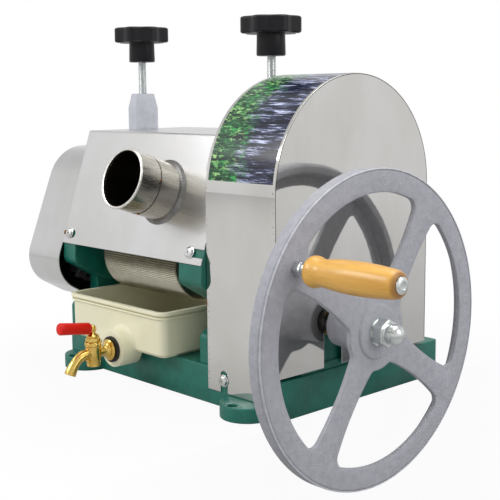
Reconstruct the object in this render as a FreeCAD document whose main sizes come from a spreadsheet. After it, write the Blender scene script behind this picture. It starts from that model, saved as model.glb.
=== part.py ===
import FreeCAD, Part
import math
import os
import re
from types import SimpleNamespace

import Sketcher

# Hand cranked sugarcane juicer, in millimetres.
# X runs along the rollers towards the handwheel, Y to the back and Z up.
# The origin is the middle of the base casting's underside.

V = FreeCAD.Vector
doc = FreeCAD.newDocument("cane_juicer")

# Driving dimensions, one cell each
SIZES = {
    # base casting
    "base_long": 428, "base_deep": 312, "base_tall": 48, "base_wall": 9, "deck_thick": 8,
    "base_corner": 8,
    "lug_round": 34, "lug_tall": 18, "lug_bolt_wide": 12.5, "lug_spread": 332, "lug_out": 25.5,
    # shaft lines
    "crank_y": -59.5, "crank_high": 106.5, "mill_y": -21.5, "roller_apart": 136,
    # gear trains
    "drive_module": 4, "pinion_teeth": 15, "big_teeth": 55, "drive_play": 0.5,
    "roller_module": 5, "roller_teeth": 21, "roller_play": 1.35, "press_travel": 1.5,
    "big_gear_left": 122, "big_gear_wide": 26, "pinion_over": 3,
    "roller_gear_left": -246, "roller_gear_wide": 25,
    # rollers and their shafts
    "roller_round": 51.7, "roller_left": -144, "roller_right": 14, "flutes": 60, "flute_deep": 1.6,
    "shaft_round": 20, "journal_round": 17, "gear_seat_round": 15, "bush_round": 22,
    "shaft_play": 0.05, "slide_play": 0.3, "shaft_stub": 4,
    # side frames
    "left_head_in": -179, "left_head_out": -208.5, "right_head_in": 51, "right_head_out": 95,
    "leg_thick": 18, "web_thick": 12, "cast_wall": 9, "head_top": 322, "head_low": 116,
    "tie_apart": 124, "tie_drop": 22, "tie_round": 8, "tie_head": 8, "tie_head_round": 13,
    "cheek_low": 148, "boss_round": 31, "leg_front": -154, "leg_back": 128, "foot_high": 84, "leg_half": 99,
    # pressure screws, their towers and the bearing blocks they move
    "left_screw_x": -201, "right_screw_x": 73, "screw_round": 6,
    "tower_round": 21, "tower_top_round": 16, "tower_shoulder": 362, "tower_taper": 21.5,
    "flange_thick": 5, "flange_deep": 74, "block_wide": 60, "block_below": 26, "block_above": 40,
    "collar_round": 7.2, "collar_thick": 5, "block_roof": 6,
    "screw_show": 46, "hub_tall": 28, "hub_round": 19,
    "star_round": 40, "star_valley": 34.5, "star_tall": 22, "lobes": 7,
    "left_knob_turn": -11.6, "right_knob_turn": -18.8,
    # stainless hood and feed tube
    "sheet": 1.5, "panel_left": -208.5, "panel_right": 94.5, "panel_low_y": -166,
    "panel_low_z": 174.3, "panel_top_y": -113.2, "roof_high": 331.6, "hood_back_low": 232,
    "tube_x": -9.7, "tube_up": 86.5, "tube_round": 38, "tube_wall": 1.5, "tube_long": 70,
    "tube_inside": 4, "tube_step": 0.4, "tube_lip": 1.6, "hood_screw_left_x": -195,
    "hood_screw_right_x": 69.8, "hood_screw_up": 14.5, "sheet_screw_head": 6,
    # right gear cover
    "cover_in": 96, "cover_out": 215.5, "arch_round": 140.15, "arch_y": -17.35, "arch_high": 264.7,
    "band_foot": 19.7, "face_foot": 52.5, "slot_round": 16, "slot_high": 117.5,
    "notch_round": 6.5, "notch_high": 40.5, "notch_inset": 29.5, "cover_screw_high": 34.9,
    # left gear cover
    "left_cover_out": -288.5, "left_cover_in": -208.5, "left_cover_top": 306.5,
    "left_cover_low": 84, "left_cover_low_half": 89.8, "left_cover_half": 163.3,
    "left_cover_wide_high": 125.6, "left_cover_top_half": 94.1,
    # crank shaft and its outboard pedestal
    "crank_round": 12.5, "crank_bush_round": 17, "pedestal_left": 190, "pedestal_thick": 22,
    "pedestal_boss": 27, "pedestal_half": 42, "pedestal_toe": 18, "pedestal_foot": 10,
    "shaft_collar_round": 15,
    # handwheel
    "wheel_round": 190, "rim_inner": 162, "rim_flange": 178, "wheel_front": 284.6,
    "rim_deep": 20, "rim_bevel": 3.5, "web_deep": 6.5, "hub_disc_round": 33, "hub_disc_proud": 3,
    "wheel_hub_round": 26, "wheel_hub_left": 228, "hub_window": 47, "spoke_half": 15,
    "spoke_flare": 10, "window_outer_round": 13, "window_inner_round": 9,
    "nut_across": 30, "nut_tall": 34,
    "pin_angle": 146, "pin_out": 161,
    # crank grip
    "pin_round": 5, "grip_left": 297.8, "grip_right": 424, "grip_bulb": 17.8, "grip_neck": 14.2,
    "grip_belly": 17.2, "grip_end": 12.5, "pin_cap_round": 9,
    # juice tray and tap
    "tray_left": -171, "tray_right": 34, "tray_front": -179.5, "tray_back": 115,
    "tray_tall": 60, "tray_wall": 3, "tray_corner": 12, "lip_out": 4, "lip_tall": 4.5,
    "sump_x": -50, "sump_high": 51, "sump_round": 24, "sump_out": 18,
    "tap_reach": 30, "barrel_round": 10.5, "barrel_tall": 30, "plug_round": 6.5, "pipe_round": 7,
    "spout_round": 7, "spout_bore": 4.6, "lever_long": 50, "lever_tilt": 8,
}

# Sizes that follow from the ones above
FOLLOWS = {
    "drive_centres": "drive_module * (big_teeth + pinion_teeth) / 2",
    "roller_centres": "roller_module * roller_teeth",
    "top_high": "crank_high + sqrt(drive_centres ^ 2 - (mill_y - crank_y) ^ 2)",
    "low_high": "top_high - sqrt(roller_centres ^ 2 - (roller_apart / 2) ^ 2)",
    "front_y": "mill_y - roller_apart / 2",
    "rear_y": "mill_y + roller_apart / 2",
    "block_top": "top_high + block_above",
    "collar_low": "top_high + block_above - block_roof - collar_thick - slide_play",
    "tower_top": "tower_shoulder + tower_taper",
    "knob_low": "tower_top + screw_show",
    "left_leg_in": "left_head_out + leg_thick",
    "right_leg_in": "right_head_out - leg_thick",
    "tap_y": "tray_front - sump_out - tap_reach",
}

dims = doc.addObject("Spreadsheet::Sheet", "dims")
NAMES = []
for row, (name, value) in enumerate(list(SIZES.items()) + list(FOLLOWS.items()), 1):
    text = "=" + value if isinstance(value, str) else str(value)
    dims.set("A%d" % row, name)
    dims.set("B%d" % row, text)
    dims.setAlias("B%d" % row, name)
    NAMES.append(name)
doc.recompute()
size = SimpleNamespace(**{name: float(dims.get(name)) for name in NAMES})

NODES = []
TURN = {
    "x": FreeCAD.Rotation(V(0, 1, 0), 90),
    "y": FreeCAD.Rotation(V(1, 0, 0), -90),
    "z": FreeCAD.Rotation(),
}
WORD = re.compile(r"[a-z_]+")


def bound(text):
    """An expression in the sheet's aliases, as the document writes it."""
    return WORD.sub(lambda m: "dims." + m.group(0) if m.group(0) in NAMES else m.group(0), text)


def bind(thing, prop, text):
    thing.setExpression(prop, bound(text))


def place(thing, at, turn=TURN["z"]):
    thing.Placement = FreeCAD.Placement(V(0, 0, 0), turn)
    for axis, text in zip("xyz", at):
        bind(thing, "Placement.Base." + axis, text)


def node(thing, label):
    """Mark an object as a piece of the juicer that gets its own file."""
    thing.Label = label
    NODES.append(thing)
    return thing


def helper(kind):
    return doc.addObject(kind, "step")


# Part primitives bound to the sheet

def box(long, deep, tall, at):
    made = helper("Part::Box")
    for prop, text in (("Length", long), ("Width", deep), ("Height", tall)):
        bind(made, prop, text)
    place(made, at)
    return made


def rod(radius, length, at, along="x"):
    made = helper("Part::Cylinder")
    bind(made, "Radius", radius)
    bind(made, "Height", length)
    place(made, at, TURN[along])
    return made


def hexagon(radius, length, at, along="x"):
    made = helper("Part::Prism")
    made.Polygon = 6
    bind(made, "Circumradius", radius)
    bind(made, "Height", length)
    place(made, at, TURN[along])
    return made


def join(*pieces):
    made = helper("Part::MultiFuse")
    made.Shapes = list(pieces)
    made.Refine = True
    return made


def together(*pieces):
    """Separate solids kept in one node, such as a set of screws."""
    made = helper("Part::Compound")
    made.Links = list(pieces)
    return made


def cut(whole, *tools):
    made = helper("Part::Cut")
    made.Base = whole
    made.Tool = tools[0] if len(tools) == 1 else join(*tools)
    made.Refine = True
    return made


def shaped(shape):
    made = helper("Part::Feature")
    made.Shape = shape
    return made


# PartDesign bodies made from a polygon whose corners are bound to the sheet

def origin_plane(body, role):
    return [part for part in body.Origin.OriginFeatures if part.Role == role][0]


def value_of(text):
    """The present value of an expression, read through a scratch cell."""
    dims.set("D1", "=" + text)
    dims.recompute()
    return float(dims.get("D1"))


def polygon_sketch(body, role, corners):
    sketch = body.newObject("Sketcher::SketchObject", "sketch")
    sketch.AttachmentSupport = [(origin_plane(body, role), "")]
    sketch.MapMode = "FlatFace"
    spots = [(value_of(a), value_of(b)) for a, b in corners]
    count = len(spots)
    for i, (a, b) in enumerate(spots):
        after = spots[(i + 1) % count]
        sketch.addGeometry(Part.LineSegment(V(a, b, 0), V(after[0], after[1], 0)), False)
    for i in range(count):
        sketch.addConstraint(Sketcher.Constraint("Coincident", i, 2, (i + 1) % count, 1))
    for i in range(count):
        for k, kind in enumerate(("DistanceX", "DistanceY")):
            limit = Sketcher.Constraint(kind, -1, 1, i, 1, spots[i][k])
            bind(sketch, "Constraints[%d]" % sketch.addConstraint(limit), corners[i][k])
    return sketch


def turned(profile, at, along="x"):
    """A turned piece: profile holds (distance along the axis, radius) pairs."""
    body = helper("PartDesign::Body")
    if along == "z":
        sketch = polygon_sketch(body, "XZ_Plane", [(radius, run) for run, radius in profile])
        axis = "V_Axis"
        turn = TURN["z"]
    else:
        sketch = polygon_sketch(body, "XY_Plane", profile)
        axis = "H_Axis"
        turn = TURN["z"] if along == "x" else FreeCAD.Rotation(V(0, 0, 1), 90)
    made = body.newObject("PartDesign::Revolution", "revolution")
    made.Profile = sketch
    made.ReferenceAxis = (sketch, [axis])
    made.Angle = 360
    body.Tip = made
    place(body, at, turn)
    return body


def padded(role, corners, length, at):
    """A plate: a polygon on one of the body's own planes, padded."""
    body = helper("PartDesign::Body")
    made = body.newObject("PartDesign::Pad", "pad")
    made.Profile = polygon_sketch(body, role, corners)
    bind(made, "Length", length)
    body.Tip = made
    place(body, at)
    return body


# Plain outlines for the castings and bent sheets

def outline(corners, axis, level):
    """A closed wire with rounded corners in the plane axis = level; corners are (a, b, radius)."""
    def spot(a, b):
        return {"x": V(level, a, b), "y": V(a, level, b), "z": V(a, b, level)}[axis]
    count = len(corners)
    ends = []
    for i, (a, b, radius) in enumerate(corners):
        before = corners[i - 1]
        after = corners[(i + 1) % count]
        here = V(a, b, 0)
        back = (V(before[0], before[1], 0) - here).normalize()
        on = (V(after[0], after[1], 0) - here).normalize()
        half = back.getAngle(on) / 2
        if radius <= 0:
            ends.append((here, None, here))
            continue
        run = radius / math.tan(half)
        middle = (back + on).normalize()
        top = here + middle * (radius / math.sin(half) - radius)
        ends.append((here + back * run, top, here + on * run))
    edges = []
    for i, (start, top, end) in enumerate(ends):
        if top is not None:
            edges.append(Part.Arc(spot(start.x, start.y), spot(top.x, top.y), spot(end.x, end.y)).toShape())
        following = ends[(i + 1) % count][0]
        if (following - end).Length > 1e-6:
            edges.append(Part.LineSegment(spot(end.x, end.y), spot(following.x, following.y)).toShape())
    return Part.Wire(edges)


def slab(corners, axis, low, high):
    """The solid between two levels of one axis with a rounded outline."""
    face = Part.Face(outline(corners, axis, low))
    way = {"x": V(1, 0, 0), "y": V(0, 1, 0), "z": V(0, 0, 1)}[axis]
    return face.extrude(way * (high - low))


def inset_slab(corners, axis, low, high, inward):
    face = Part.Face(outline(corners, axis, low)).makeOffset2D(-inward)
    way = {"x": V(1, 0, 0), "y": V(0, 1, 0), "z": V(0, 0, 1)}[axis]
    return face.extrude(way * (high - low))


def mirrored_outline(front):
    """A front half outline followed by its mirror image about the mill's middle plane."""
    back = [(2 * size.mill_y - a, b, radius) for a, b, radius in reversed(front)]
    return front + back


def bar(radius, low, high, y, z):
    return Part.makeCylinder(radius, high - low, V(low, y, z), V(1, 0, 0))


def brick(low, high):
    return Part.makeBox(high[0] - low[0], high[1] - low[1], high[2] - low[2], V(*low))


# The hood panel's slanted plane
panel_run = math.hypot(size.panel_top_y - size.panel_low_y, size.roof_high - size.panel_low_z)
lean_y = (size.panel_top_y - size.panel_low_y) / panel_run
lean_z = (size.roof_high - size.panel_low_z) / panel_run


def panel_back(z):
    """How far back the panel's inner face lies at a height."""
    return size.panel_low_y + (z - size.panel_low_z) * lean_y / lean_z + size.sheet / lean_z


# Base casting: an open box with four bolt lugs

def make_base():
    half_x = size.base_long / 2
    half_y = size.base_deep / 2
    corners = [(-half_x, -half_y, size.base_corner), (half_x, -half_y, size.base_corner),
               (half_x, half_y, size.base_corner), (-half_x, half_y, size.base_corner)]
    shape = slab(corners, "z", 0, size.base_tall)
    lug_x = size.lug_spread / 2
    for side in (-1, 1):
        for end in (-1, 1):
            lug = Part.makeCylinder(size.lug_round, size.lug_tall, V(side * lug_x, end * half_y, 0))
            shape = shape.fuse(lug)
    inner = inset_slab(corners, "z", 0, size.base_tall - size.deck_thick, size.base_wall)
    shape = shape.cut(inner)
    for side in (-1, 1):
        for end in (-1, 1):
            spot = V(side * lug_x, end * (half_y + size.lug_out), 0)
            shape = shape.cut(Part.makeCylinder(size.lug_bolt_wide / 2, size.lug_tall, spot))
    shape = shape.removeSplitter()
    return shape


node(shaped(make_base()), "base_casting")


# Side frames: a ribbed head that carries the bearings, on a plain leg plate

def make_frame(head_in, head_out, leg_in, leg_out):
    outward = 1 if head_out > head_in else -1
    low, high = sorted((head_in, head_out))
    head = mirrored_outline([
        (size.mill_y - 90, size.head_low, 24),
        (panel_back(size.panel_low_z) - 1, size.cheek_low, 12),
        (panel_back(size.panel_low_z + 2), size.panel_low_z + 2, 3),
        (panel_back(size.head_top), size.head_top, 5),
    ])
    shape = slab(head, "x", low, high)
    web = head_in + outward * size.web_thick
    pocket_low, pocket_high = sorted((web, head_out))
    pocket = inset_slab(head, "x", pocket_low, pocket_high, size.cast_wall)
    guide_half = size.block_wide / 2 + size.slide_play
    guide = brick((low, size.mill_y - guide_half - size.cast_wall, size.top_high - size.block_below - 14),
                  (high, size.mill_y + guide_half + size.cast_wall, size.head_top))
    pocket = pocket.cut(guide)
    for y in (size.front_y, size.rear_y):
        pocket = pocket.cut(bar(size.boss_round, low, high, y, size.low_high))
    shape = shape.cut(pocket)
    leg_low, leg_high = sorted((leg_in, leg_out))
    base_top = size.base_tall
    front = size.mill_y - size.leg_half
    rear = size.mill_y + size.leg_half
    knee = size.foot_high + 18
    inside_head = size.head_low + 16
    arch_top = base_top + 24
    legs = [(size.leg_front, base_top, 0), (size.leg_front, size.foot_high, 8), (front, knee, 10),
            (front, inside_head, 0), (rear, inside_head, 0), (rear, knee, 10),
            (size.leg_back, size.foot_high, 8), (size.leg_back, base_top, 0),
            (size.leg_back - 56, base_top, 0), (size.leg_back - 68, arch_top, 12),
            (size.leg_front + 58, arch_top, 12), (size.leg_front + 46, base_top, 0)]
    shape = shape.fuse(slab(legs, "x", leg_low, leg_high))
    # window that the bearing block slides in, and the way in for its screw
    window_low = size.top_high - size.block_below - size.slide_play
    window_high = size.block_top + size.press_travel + 2
    window = brick((low - 1, size.mill_y - guide_half, window_low),
                   (high + 1, size.mill_y + guide_half, window_high))
    shape = shape.cut(window)
    for y in (size.front_y, size.rear_y):
        shape = shape.cut(bar(size.bush_round, low - 1, high + 1, y, size.low_high))
    return shape


def finish_frame(shape, screw_x):
    low = size.head_top - 45
    return shape.cut(Part.makeCylinder(size.screw_round + 0.5, 50, V(screw_x, size.mill_y, low)))


def tie_holes(shape):
    for y in (size.mill_y - size.tie_apart / 2, size.mill_y + size.tie_apart / 2):
        shape = shape.cut(bar(size.tie_round, size.left_head_out - 1, size.right_head_out + 1, y,
                              size.head_top - size.tie_drop))
    return shape


left_shape = make_frame(size.left_head_in, size.left_head_out, size.left_leg_in, size.left_head_out)
pad_low = size.left_screw_x - size.tower_round
left_shape = left_shape.fuse(brick((pad_low, size.mill_y - size.flange_deep / 2, size.head_top - 13),
                                   (size.left_head_out, size.mill_y + size.flange_deep / 2, size.head_top)))
left_shape = tie_holes(finish_frame(left_shape, size.left_screw_x)).removeSplitter()
node(shaped(left_shape), "left_side_frame")

right_shape = make_frame(size.right_head_in, size.right_head_out, size.right_leg_in, size.right_head_out)
right_shape = right_shape.fuse(bar(24, size.right_leg_in, size.right_head_out, size.crank_y, size.crank_high))
right_shape = right_shape.cut(bar(size.crank_bush_round, size.right_leg_in, size.right_head_out + 1,
                                  size.crank_y, size.crank_high))
right_shape = tie_holes(finish_frame(right_shape, size.right_screw_x)).removeSplitter()
node(shaped(right_shape), "right_side_frame")

# Tie rods between the side frames, with their end heads

def tie_rod(y):
    inner_left = "left_head_in - web_thick"
    inner_right = "right_head_in + web_thick"
    profile = [(inner_left + " - tie_head", "0"), (inner_left + " - tie_head", "tie_head_round"),
               (inner_left, "tie_head_round"), (inner_left, "tie_round"), (inner_right, "tie_round"),
               (inner_right, "tie_head_round"), (inner_right + " + tie_head", "tie_head_round"),
               (inner_right + " + tie_head", "0")]
    return turned(profile, ("0", y, "head_top - tie_drop"))


node(together(tie_rod("mill_y - tie_apart / 2"), tie_rod("mill_y + tie_apart / 2")), "tie_rods")

# Crank pedestal on the base, just inside the right cover

def make_pedestal():
    left = size.pedestal_left
    right = left + size.pedestal_thick
    top = size.crank_high + 6
    narrow = size.pedestal_boss - 3
    web = [(size.crank_y - size.pedestal_half, size.base_tall, 0), (size.crank_y - narrow, top, 6),
           (size.crank_y + narrow, top, 6), (size.crank_y + size.pedestal_half, size.base_tall, 0)]
    shape = slab(web, "x", left + 3, right - 3)
    shape = shape.fuse(bar(size.pedestal_boss, left, right, size.crank_y, size.crank_high))
    foot_half = size.pedestal_half + 10
    foot = brick((left - size.pedestal_toe, size.crank_y - foot_half, size.base_tall),
                 (right, size.crank_y + foot_half, size.base_tall + size.pedestal_foot))
    shape = shape.fuse(foot)
    shape = shape.cut(bar(size.crank_bush_round, left - 1, right + 1, size.crank_y, size.crank_high))
    return shape.removeSplitter()


node(shaped(make_pedestal()), "crank_pedestal")


# Bronze bushes

def bush(outer, inner, low, high, y, z):
    profile = [(low, inner), (low, outer), (high, outer), (high, inner)]
    return turned(profile, ("0", y, z))


JOURNAL_BORE = "journal_round + shaft_play"
CRANK_BORE = "crank_round + shaft_play"
for row_name, row_y in (("front", "front_y"), ("rear", "rear_y")):
    node(bush("bush_round", JOURNAL_BORE, "left_head_out", "left_head_in", row_y, "low_high"),
         row_name + "_left_bush")
    node(bush("bush_round", JOURNAL_BORE, "right_head_in", "right_head_out - 8", row_y, "low_high"),
         row_name + "_right_bush")
node(bush("bush_round", JOURNAL_BORE, "left_head_out", "left_head_in", "mill_y", "top_high"),
     "top_left_bush")
node(bush("bush_round", JOURNAL_BORE, "right_head_in", "right_head_out", "mill_y", "top_high"),
     "top_right_bush")
node(bush("crank_bush_round", CRANK_BORE, "right_leg_in", "right_head_out", "crank_y", "crank_high"),
     "crank_inner_bush")
node(bush("crank_bush_round", CRANK_BORE, "pedestal_left", "pedestal_left + pedestal_thick",
          "crank_y", "crank_high"), "crank_outer_bush")


# Bearing blocks of the top roller, each hung on its pressure screw

def bearing_block(low, high, screw_x):
    """A block with a bore for its bush and a T slot that hangs on the screw's collar."""
    whole = box("%s - (%s)" % (high, low), "block_wide", "block_below + block_above",
                (low, "mill_y - block_wide / 2", "top_high - block_below"))
    bore = rod("bush_round", "%s - (%s) + 2" % (high, low), (low + " - 1", "mill_y", "top_high"))
    neck = box("2 * screw_round + 1", "2 * screw_round + 1", "block_roof + 2",
               (screw_x + " - screw_round - 0.5", "mill_y - screw_round - 0.5", "block_top - block_roof"))
    slot = box("2 * collar_round + 2 * slide_play", "2 * collar_round + 2 * slide_play",
               "collar_thick + 2 * slide_play",
               (screw_x + " - collar_round - slide_play", "mill_y - collar_round - slide_play",
                "collar_low - slide_play"))
    return cut(whole, bore, neck, slot)


node(bearing_block("left_head_out", "left_head_in", "left_screw_x"), "left_bearing_block")
node(bearing_block("right_head_in", "right_head_out", "right_screw_x"), "right_bearing_block")

# Pressure screws, knobs and towers


def pressure_screw(screw_x):
    screw_top = "knob_low + hub_tall - 4"
    collar_top = "collar_low + collar_thick"
    profile = [("collar_low", "0"), ("collar_low", "collar_round"), (collar_top, "collar_round"),
               (collar_top, "screw_round"), (screw_top, "screw_round"), (screw_top, "0")]
    return turned(profile, (screw_x, "mill_y", "0"), "z")


def make_knob(screw_x, turn):
    """A star knob: round lobes with hollows between them, on a plain hub."""
    step = 2 * math.pi / size.lobes
    star_low = size.knob_low + size.hub_tall
    shoulder = size.star_round - 0.35 * (size.star_round - size.star_valley)
    edges = []

    def ring(radius, angle):
        return V(screw_x + radius * math.cos(angle), size.mill_y + radius * math.sin(angle), star_low)

    for i in range(int(size.lobes)):
        angle = math.radians(turn) + i * step
        lobe_end = angle + 0.2 * step
        next_lobe = angle + 0.8 * step
        edges.append(Part.Arc(ring(shoulder, angle - 0.2 * step), ring(size.star_round, angle),
                              ring(shoulder, lobe_end)).toShape())
        edges.append(Part.Arc(ring(shoulder, lobe_end), ring(size.star_valley, angle + 0.5 * step),
                              ring(shoulder, next_lobe)).toShape())
    star = Part.Face(Part.Wire(edges)).extrude(V(0, 0, size.star_tall))
    hub = Part.makeCylinder(size.hub_round, size.hub_tall, V(screw_x, size.mill_y, size.knob_low))
    bore = Part.makeCylinder(size.screw_round, size.hub_tall - 4, V(screw_x, size.mill_y, size.knob_low))
    return star.fuse(hub).cut(bore).removeSplitter()


def make_tower(screw_x):
    """A cast nut housing: eight sided, with a tapered top and a bolted flange."""
    def ring(radius, z):
        corners = []
        for i in range(9):
            angle = math.radians(22.5 + 45 * i)
            reach = radius / math.cos(math.radians(22.5))
            corners.append(V(screw_x + reach * math.cos(angle), size.mill_y + reach * math.sin(angle), z))
        return Part.makePolygon(corners)
    straight = V(0, 0, size.tower_shoulder - size.head_top)
    shape = Part.Face(ring(size.tower_round, size.head_top)).extrude(straight)
    shoulder = ring(size.tower_round, size.tower_shoulder)
    taper = Part.makeLoft([shoulder, ring(size.tower_top_round, size.tower_top)], True, True)
    shape = shape.fuse(taper)
    flange = brick((screw_x - size.tower_round, size.mill_y - size.flange_deep / 2, size.head_top),
                   (screw_x + size.tower_round, size.mill_y + size.flange_deep / 2,
                    size.head_top + size.flange_thick))
    shape = shape.fuse(flange)
    bore = Part.makeCylinder(size.screw_round + size.shaft_play, size.tower_top - size.head_top + 2,
                             V(screw_x, size.mill_y, size.head_top - 1))
    return shape.cut(bore).removeSplitter()


for side, screw_alias in (("left", "left_screw_x"), ("right", "right_screw_x")):
    screw_x = getattr(size, screw_alias)
    knob_turn = getattr(size, side + "_knob_turn")
    node(pressure_screw(screw_alias), side + "_pressure_screw")
    node(shaped(make_knob(screw_x, knob_turn)), side + "_star_knob")
    node(shaped(make_tower(screw_x)), side + "_screw_tower")


def hex_head(x, y, z, across, tall):
    """A hexagon head that stands on the level z."""
    return hexagon(across, tall, (x, y, z), "z")


tower_bolts = []
for screw_alias in ("left_screw_x", "right_screw_x"):
    for sign in ("-", "+"):
        tower_bolts.append(hex_head(screw_alias, "mill_y %s (flange_deep / 2 - 8)" % sign,
                                    "head_top + flange_thick", "7.5", "2.8"))
node(together(*tower_bolts), "tower_bolts")

# Shafts of the three rollers

def roller_shaft(y, z, journal_end, right_end=None):
    left_end = "roller_gear_left - shaft_stub"
    profile = [(left_end, "0"), (left_end, "gear_seat_round"), ("left_head_out", "gear_seat_round"),
               ("left_head_out", "journal_round"), ("left_head_in + 1", "journal_round"),
               ("left_head_in + 1", "shaft_round"), ("right_head_in - 1", "shaft_round"),
               ("right_head_in - 1", "journal_round"), (journal_end, "journal_round")]
    if right_end:
        profile += [(journal_end, "gear_seat_round"), (right_end, "gear_seat_round"), (right_end, "0")]
    else:
        profile += [(journal_end, "0")]
    return turned(profile, ("0", y, z))


node(roller_shaft("mill_y", "top_high", "right_head_out", "big_gear_left + big_gear_wide + shaft_stub"),
     "top_roller_shaft")
node(roller_shaft("front_y", "low_high", "right_head_out - 8"), "front_roller_shaft")
node(roller_shaft("rear_y", "low_high", "right_head_out - 8"), "rear_roller_shaft")


# Fluted crushing rollers

def make_roller(y, z):
    step = 2 * math.pi / size.flutes
    corners = []
    for i in range(int(size.flutes)):
        for part, radius in ((-0.30, size.roller_round), (0.30, size.roller_round),
                             (0.5, size.roller_round - size.flute_deep)):
            angle = (i + part) * step
            corners.append(V(size.roller_left, y + radius * math.cos(angle), z + radius * math.sin(angle)))
    corners.append(corners[0])
    shape = Part.Face(Part.makePolygon(corners)).extrude(V(size.roller_right - size.roller_left, 0, 0))
    return shape.cut(bar(size.shaft_round, size.roller_left - 1, size.roller_right + 1, y, z))


node(shaped(make_roller(size.mill_y, size.top_high)), "top_roller")
node(shaped(make_roller(size.front_y, size.low_high)), "front_roller")
node(shaped(make_roller(size.rear_y, size.low_high)), "rear_roller")


# Involute spur gears, cut with some play between the flanks

def make_gear(teeth, module, play, low, high, y, z, start, bore):
    """A spur gear on an X axis; start is the angle of one tooth's middle, from +Y towards +Z."""
    pressure = math.radians(20)
    pitch = module * teeth / 2
    ground = pitch * math.cos(pressure)
    tip = pitch + module
    root = pitch - 1.25 * module
    half_tooth = (math.pi * module / 2 - play / 2) / (2 * pitch)
    involute = math.tan(pressure) - pressure

    def flank_angle(radius):
        if radius <= ground:
            return half_tooth + involute
        turn = math.acos(ground / radius)
        return half_tooth + involute - (math.tan(turn) - turn)

    def spot(radius, angle):
        return V(low, y + radius * math.cos(angle), z + radius * math.sin(angle))

    inside = max(root, ground)
    corners = []
    for i in range(int(teeth)):
        centre = start + 2 * math.pi * i / teeth
        for side in (-1, 1):
            flank = [spot(inside, centre + side * flank_angle(inside)),
                     spot(tip, centre + side * flank_angle(tip))]
            if root < ground:
                flank.insert(0, spot(root, centre + side * flank_angle(inside)))
            corners += flank if side < 0 else flank[::-1]
    corners.append(corners[0])
    face = Part.Face(Part.makePolygon(corners))
    shape = face.extrude(V(high - low, 0, 0))
    return shape.cut(bar(bore, low - 1, high + 1, y, z))


def meshed_start(teeth, other_axis, own_axis, other_teeth, other_start):
    """The angle of one tooth that puts this gear in mesh with another one."""
    line = math.atan2(own_axis[1] - other_axis[1], own_axis[0] - other_axis[0])
    phase = (line - other_start) * other_teeth / (2 * math.pi)
    return line + math.pi + (phase + 0.5) * 2 * math.pi / teeth


crank_axis = (size.crank_y, size.crank_high)
top_axis = (size.mill_y, size.top_high)
front_axis = (size.front_y, size.low_high)
rear_axis = (size.rear_y, size.low_high)
big_high = size.big_gear_left + size.big_gear_wide
pinion_start = meshed_start(size.pinion_teeth, top_axis, crank_axis, size.big_teeth, 0)


def dished(shape, low, high):
    """Thin the big gear's web between its rim and its hub, on both faces."""
    y, z = top_axis
    rim = size.drive_module * size.big_teeth / 2 - 3.5 * size.drive_module
    hub = 2 * size.gear_seat_round
    deep = 0.3 * (high - low)
    for start in (low, high - deep):
        shape = shape.cut(bar(rim, start, start + deep, y, z).cut(bar(hub, start, start + deep, y, z)))
    return shape


big_gear = make_gear(size.big_teeth, size.drive_module, size.drive_play, size.big_gear_left, big_high,
                     top_axis[0], top_axis[1], 0, size.gear_seat_round)
node(shaped(dished(big_gear, size.big_gear_left, big_high)), "drive_gear")
node(shaped(make_gear(size.pinion_teeth, size.drive_module, size.drive_play,
                      size.big_gear_left - size.pinion_over, big_high + size.pinion_over,
                      crank_axis[0], crank_axis[1], pinion_start, size.crank_round)), "crank_pinion")
gear_high = size.roller_gear_left + size.roller_gear_wide
for gear_name, axis in (("top", top_axis), ("front", front_axis), ("rear", rear_axis)):
    start = 0 if gear_name == "top" else meshed_start(size.roller_teeth, top_axis, axis, size.roller_teeth, 0)
    gear = make_gear(size.roller_teeth, size.roller_module, size.roller_play, size.roller_gear_left,
                     gear_high, axis[0], axis[1], start, size.gear_seat_round)
    node(shaped(gear), gear_name + "_roller_gear")

# Crank shaft: journals, pinion seat, collar, wheel seat and threaded nose
crank_profile = [
    ("right_leg_in", "0"), ("right_leg_in", "crank_round"),
    ("pedestal_left + pedestal_thick + 0.5", "crank_round"),
    ("pedestal_left + pedestal_thick + 0.5", "shaft_collar_round"),
    ("wheel_hub_left", "shaft_collar_round"), ("wheel_hub_left", "crank_round"),
    ("wheel_front + hub_disc_proud", "crank_round"), ("wheel_front + hub_disc_proud", "10"),
    ("wheel_front + hub_disc_proud + 22", "10"), ("wheel_front + hub_disc_proud + 22", "0"),
]
node(turned(crank_profile, ("0", "crank_y", "crank_high")), "crank_shaft")


# Handwheel: turned casting with four openings cut through the web

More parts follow.
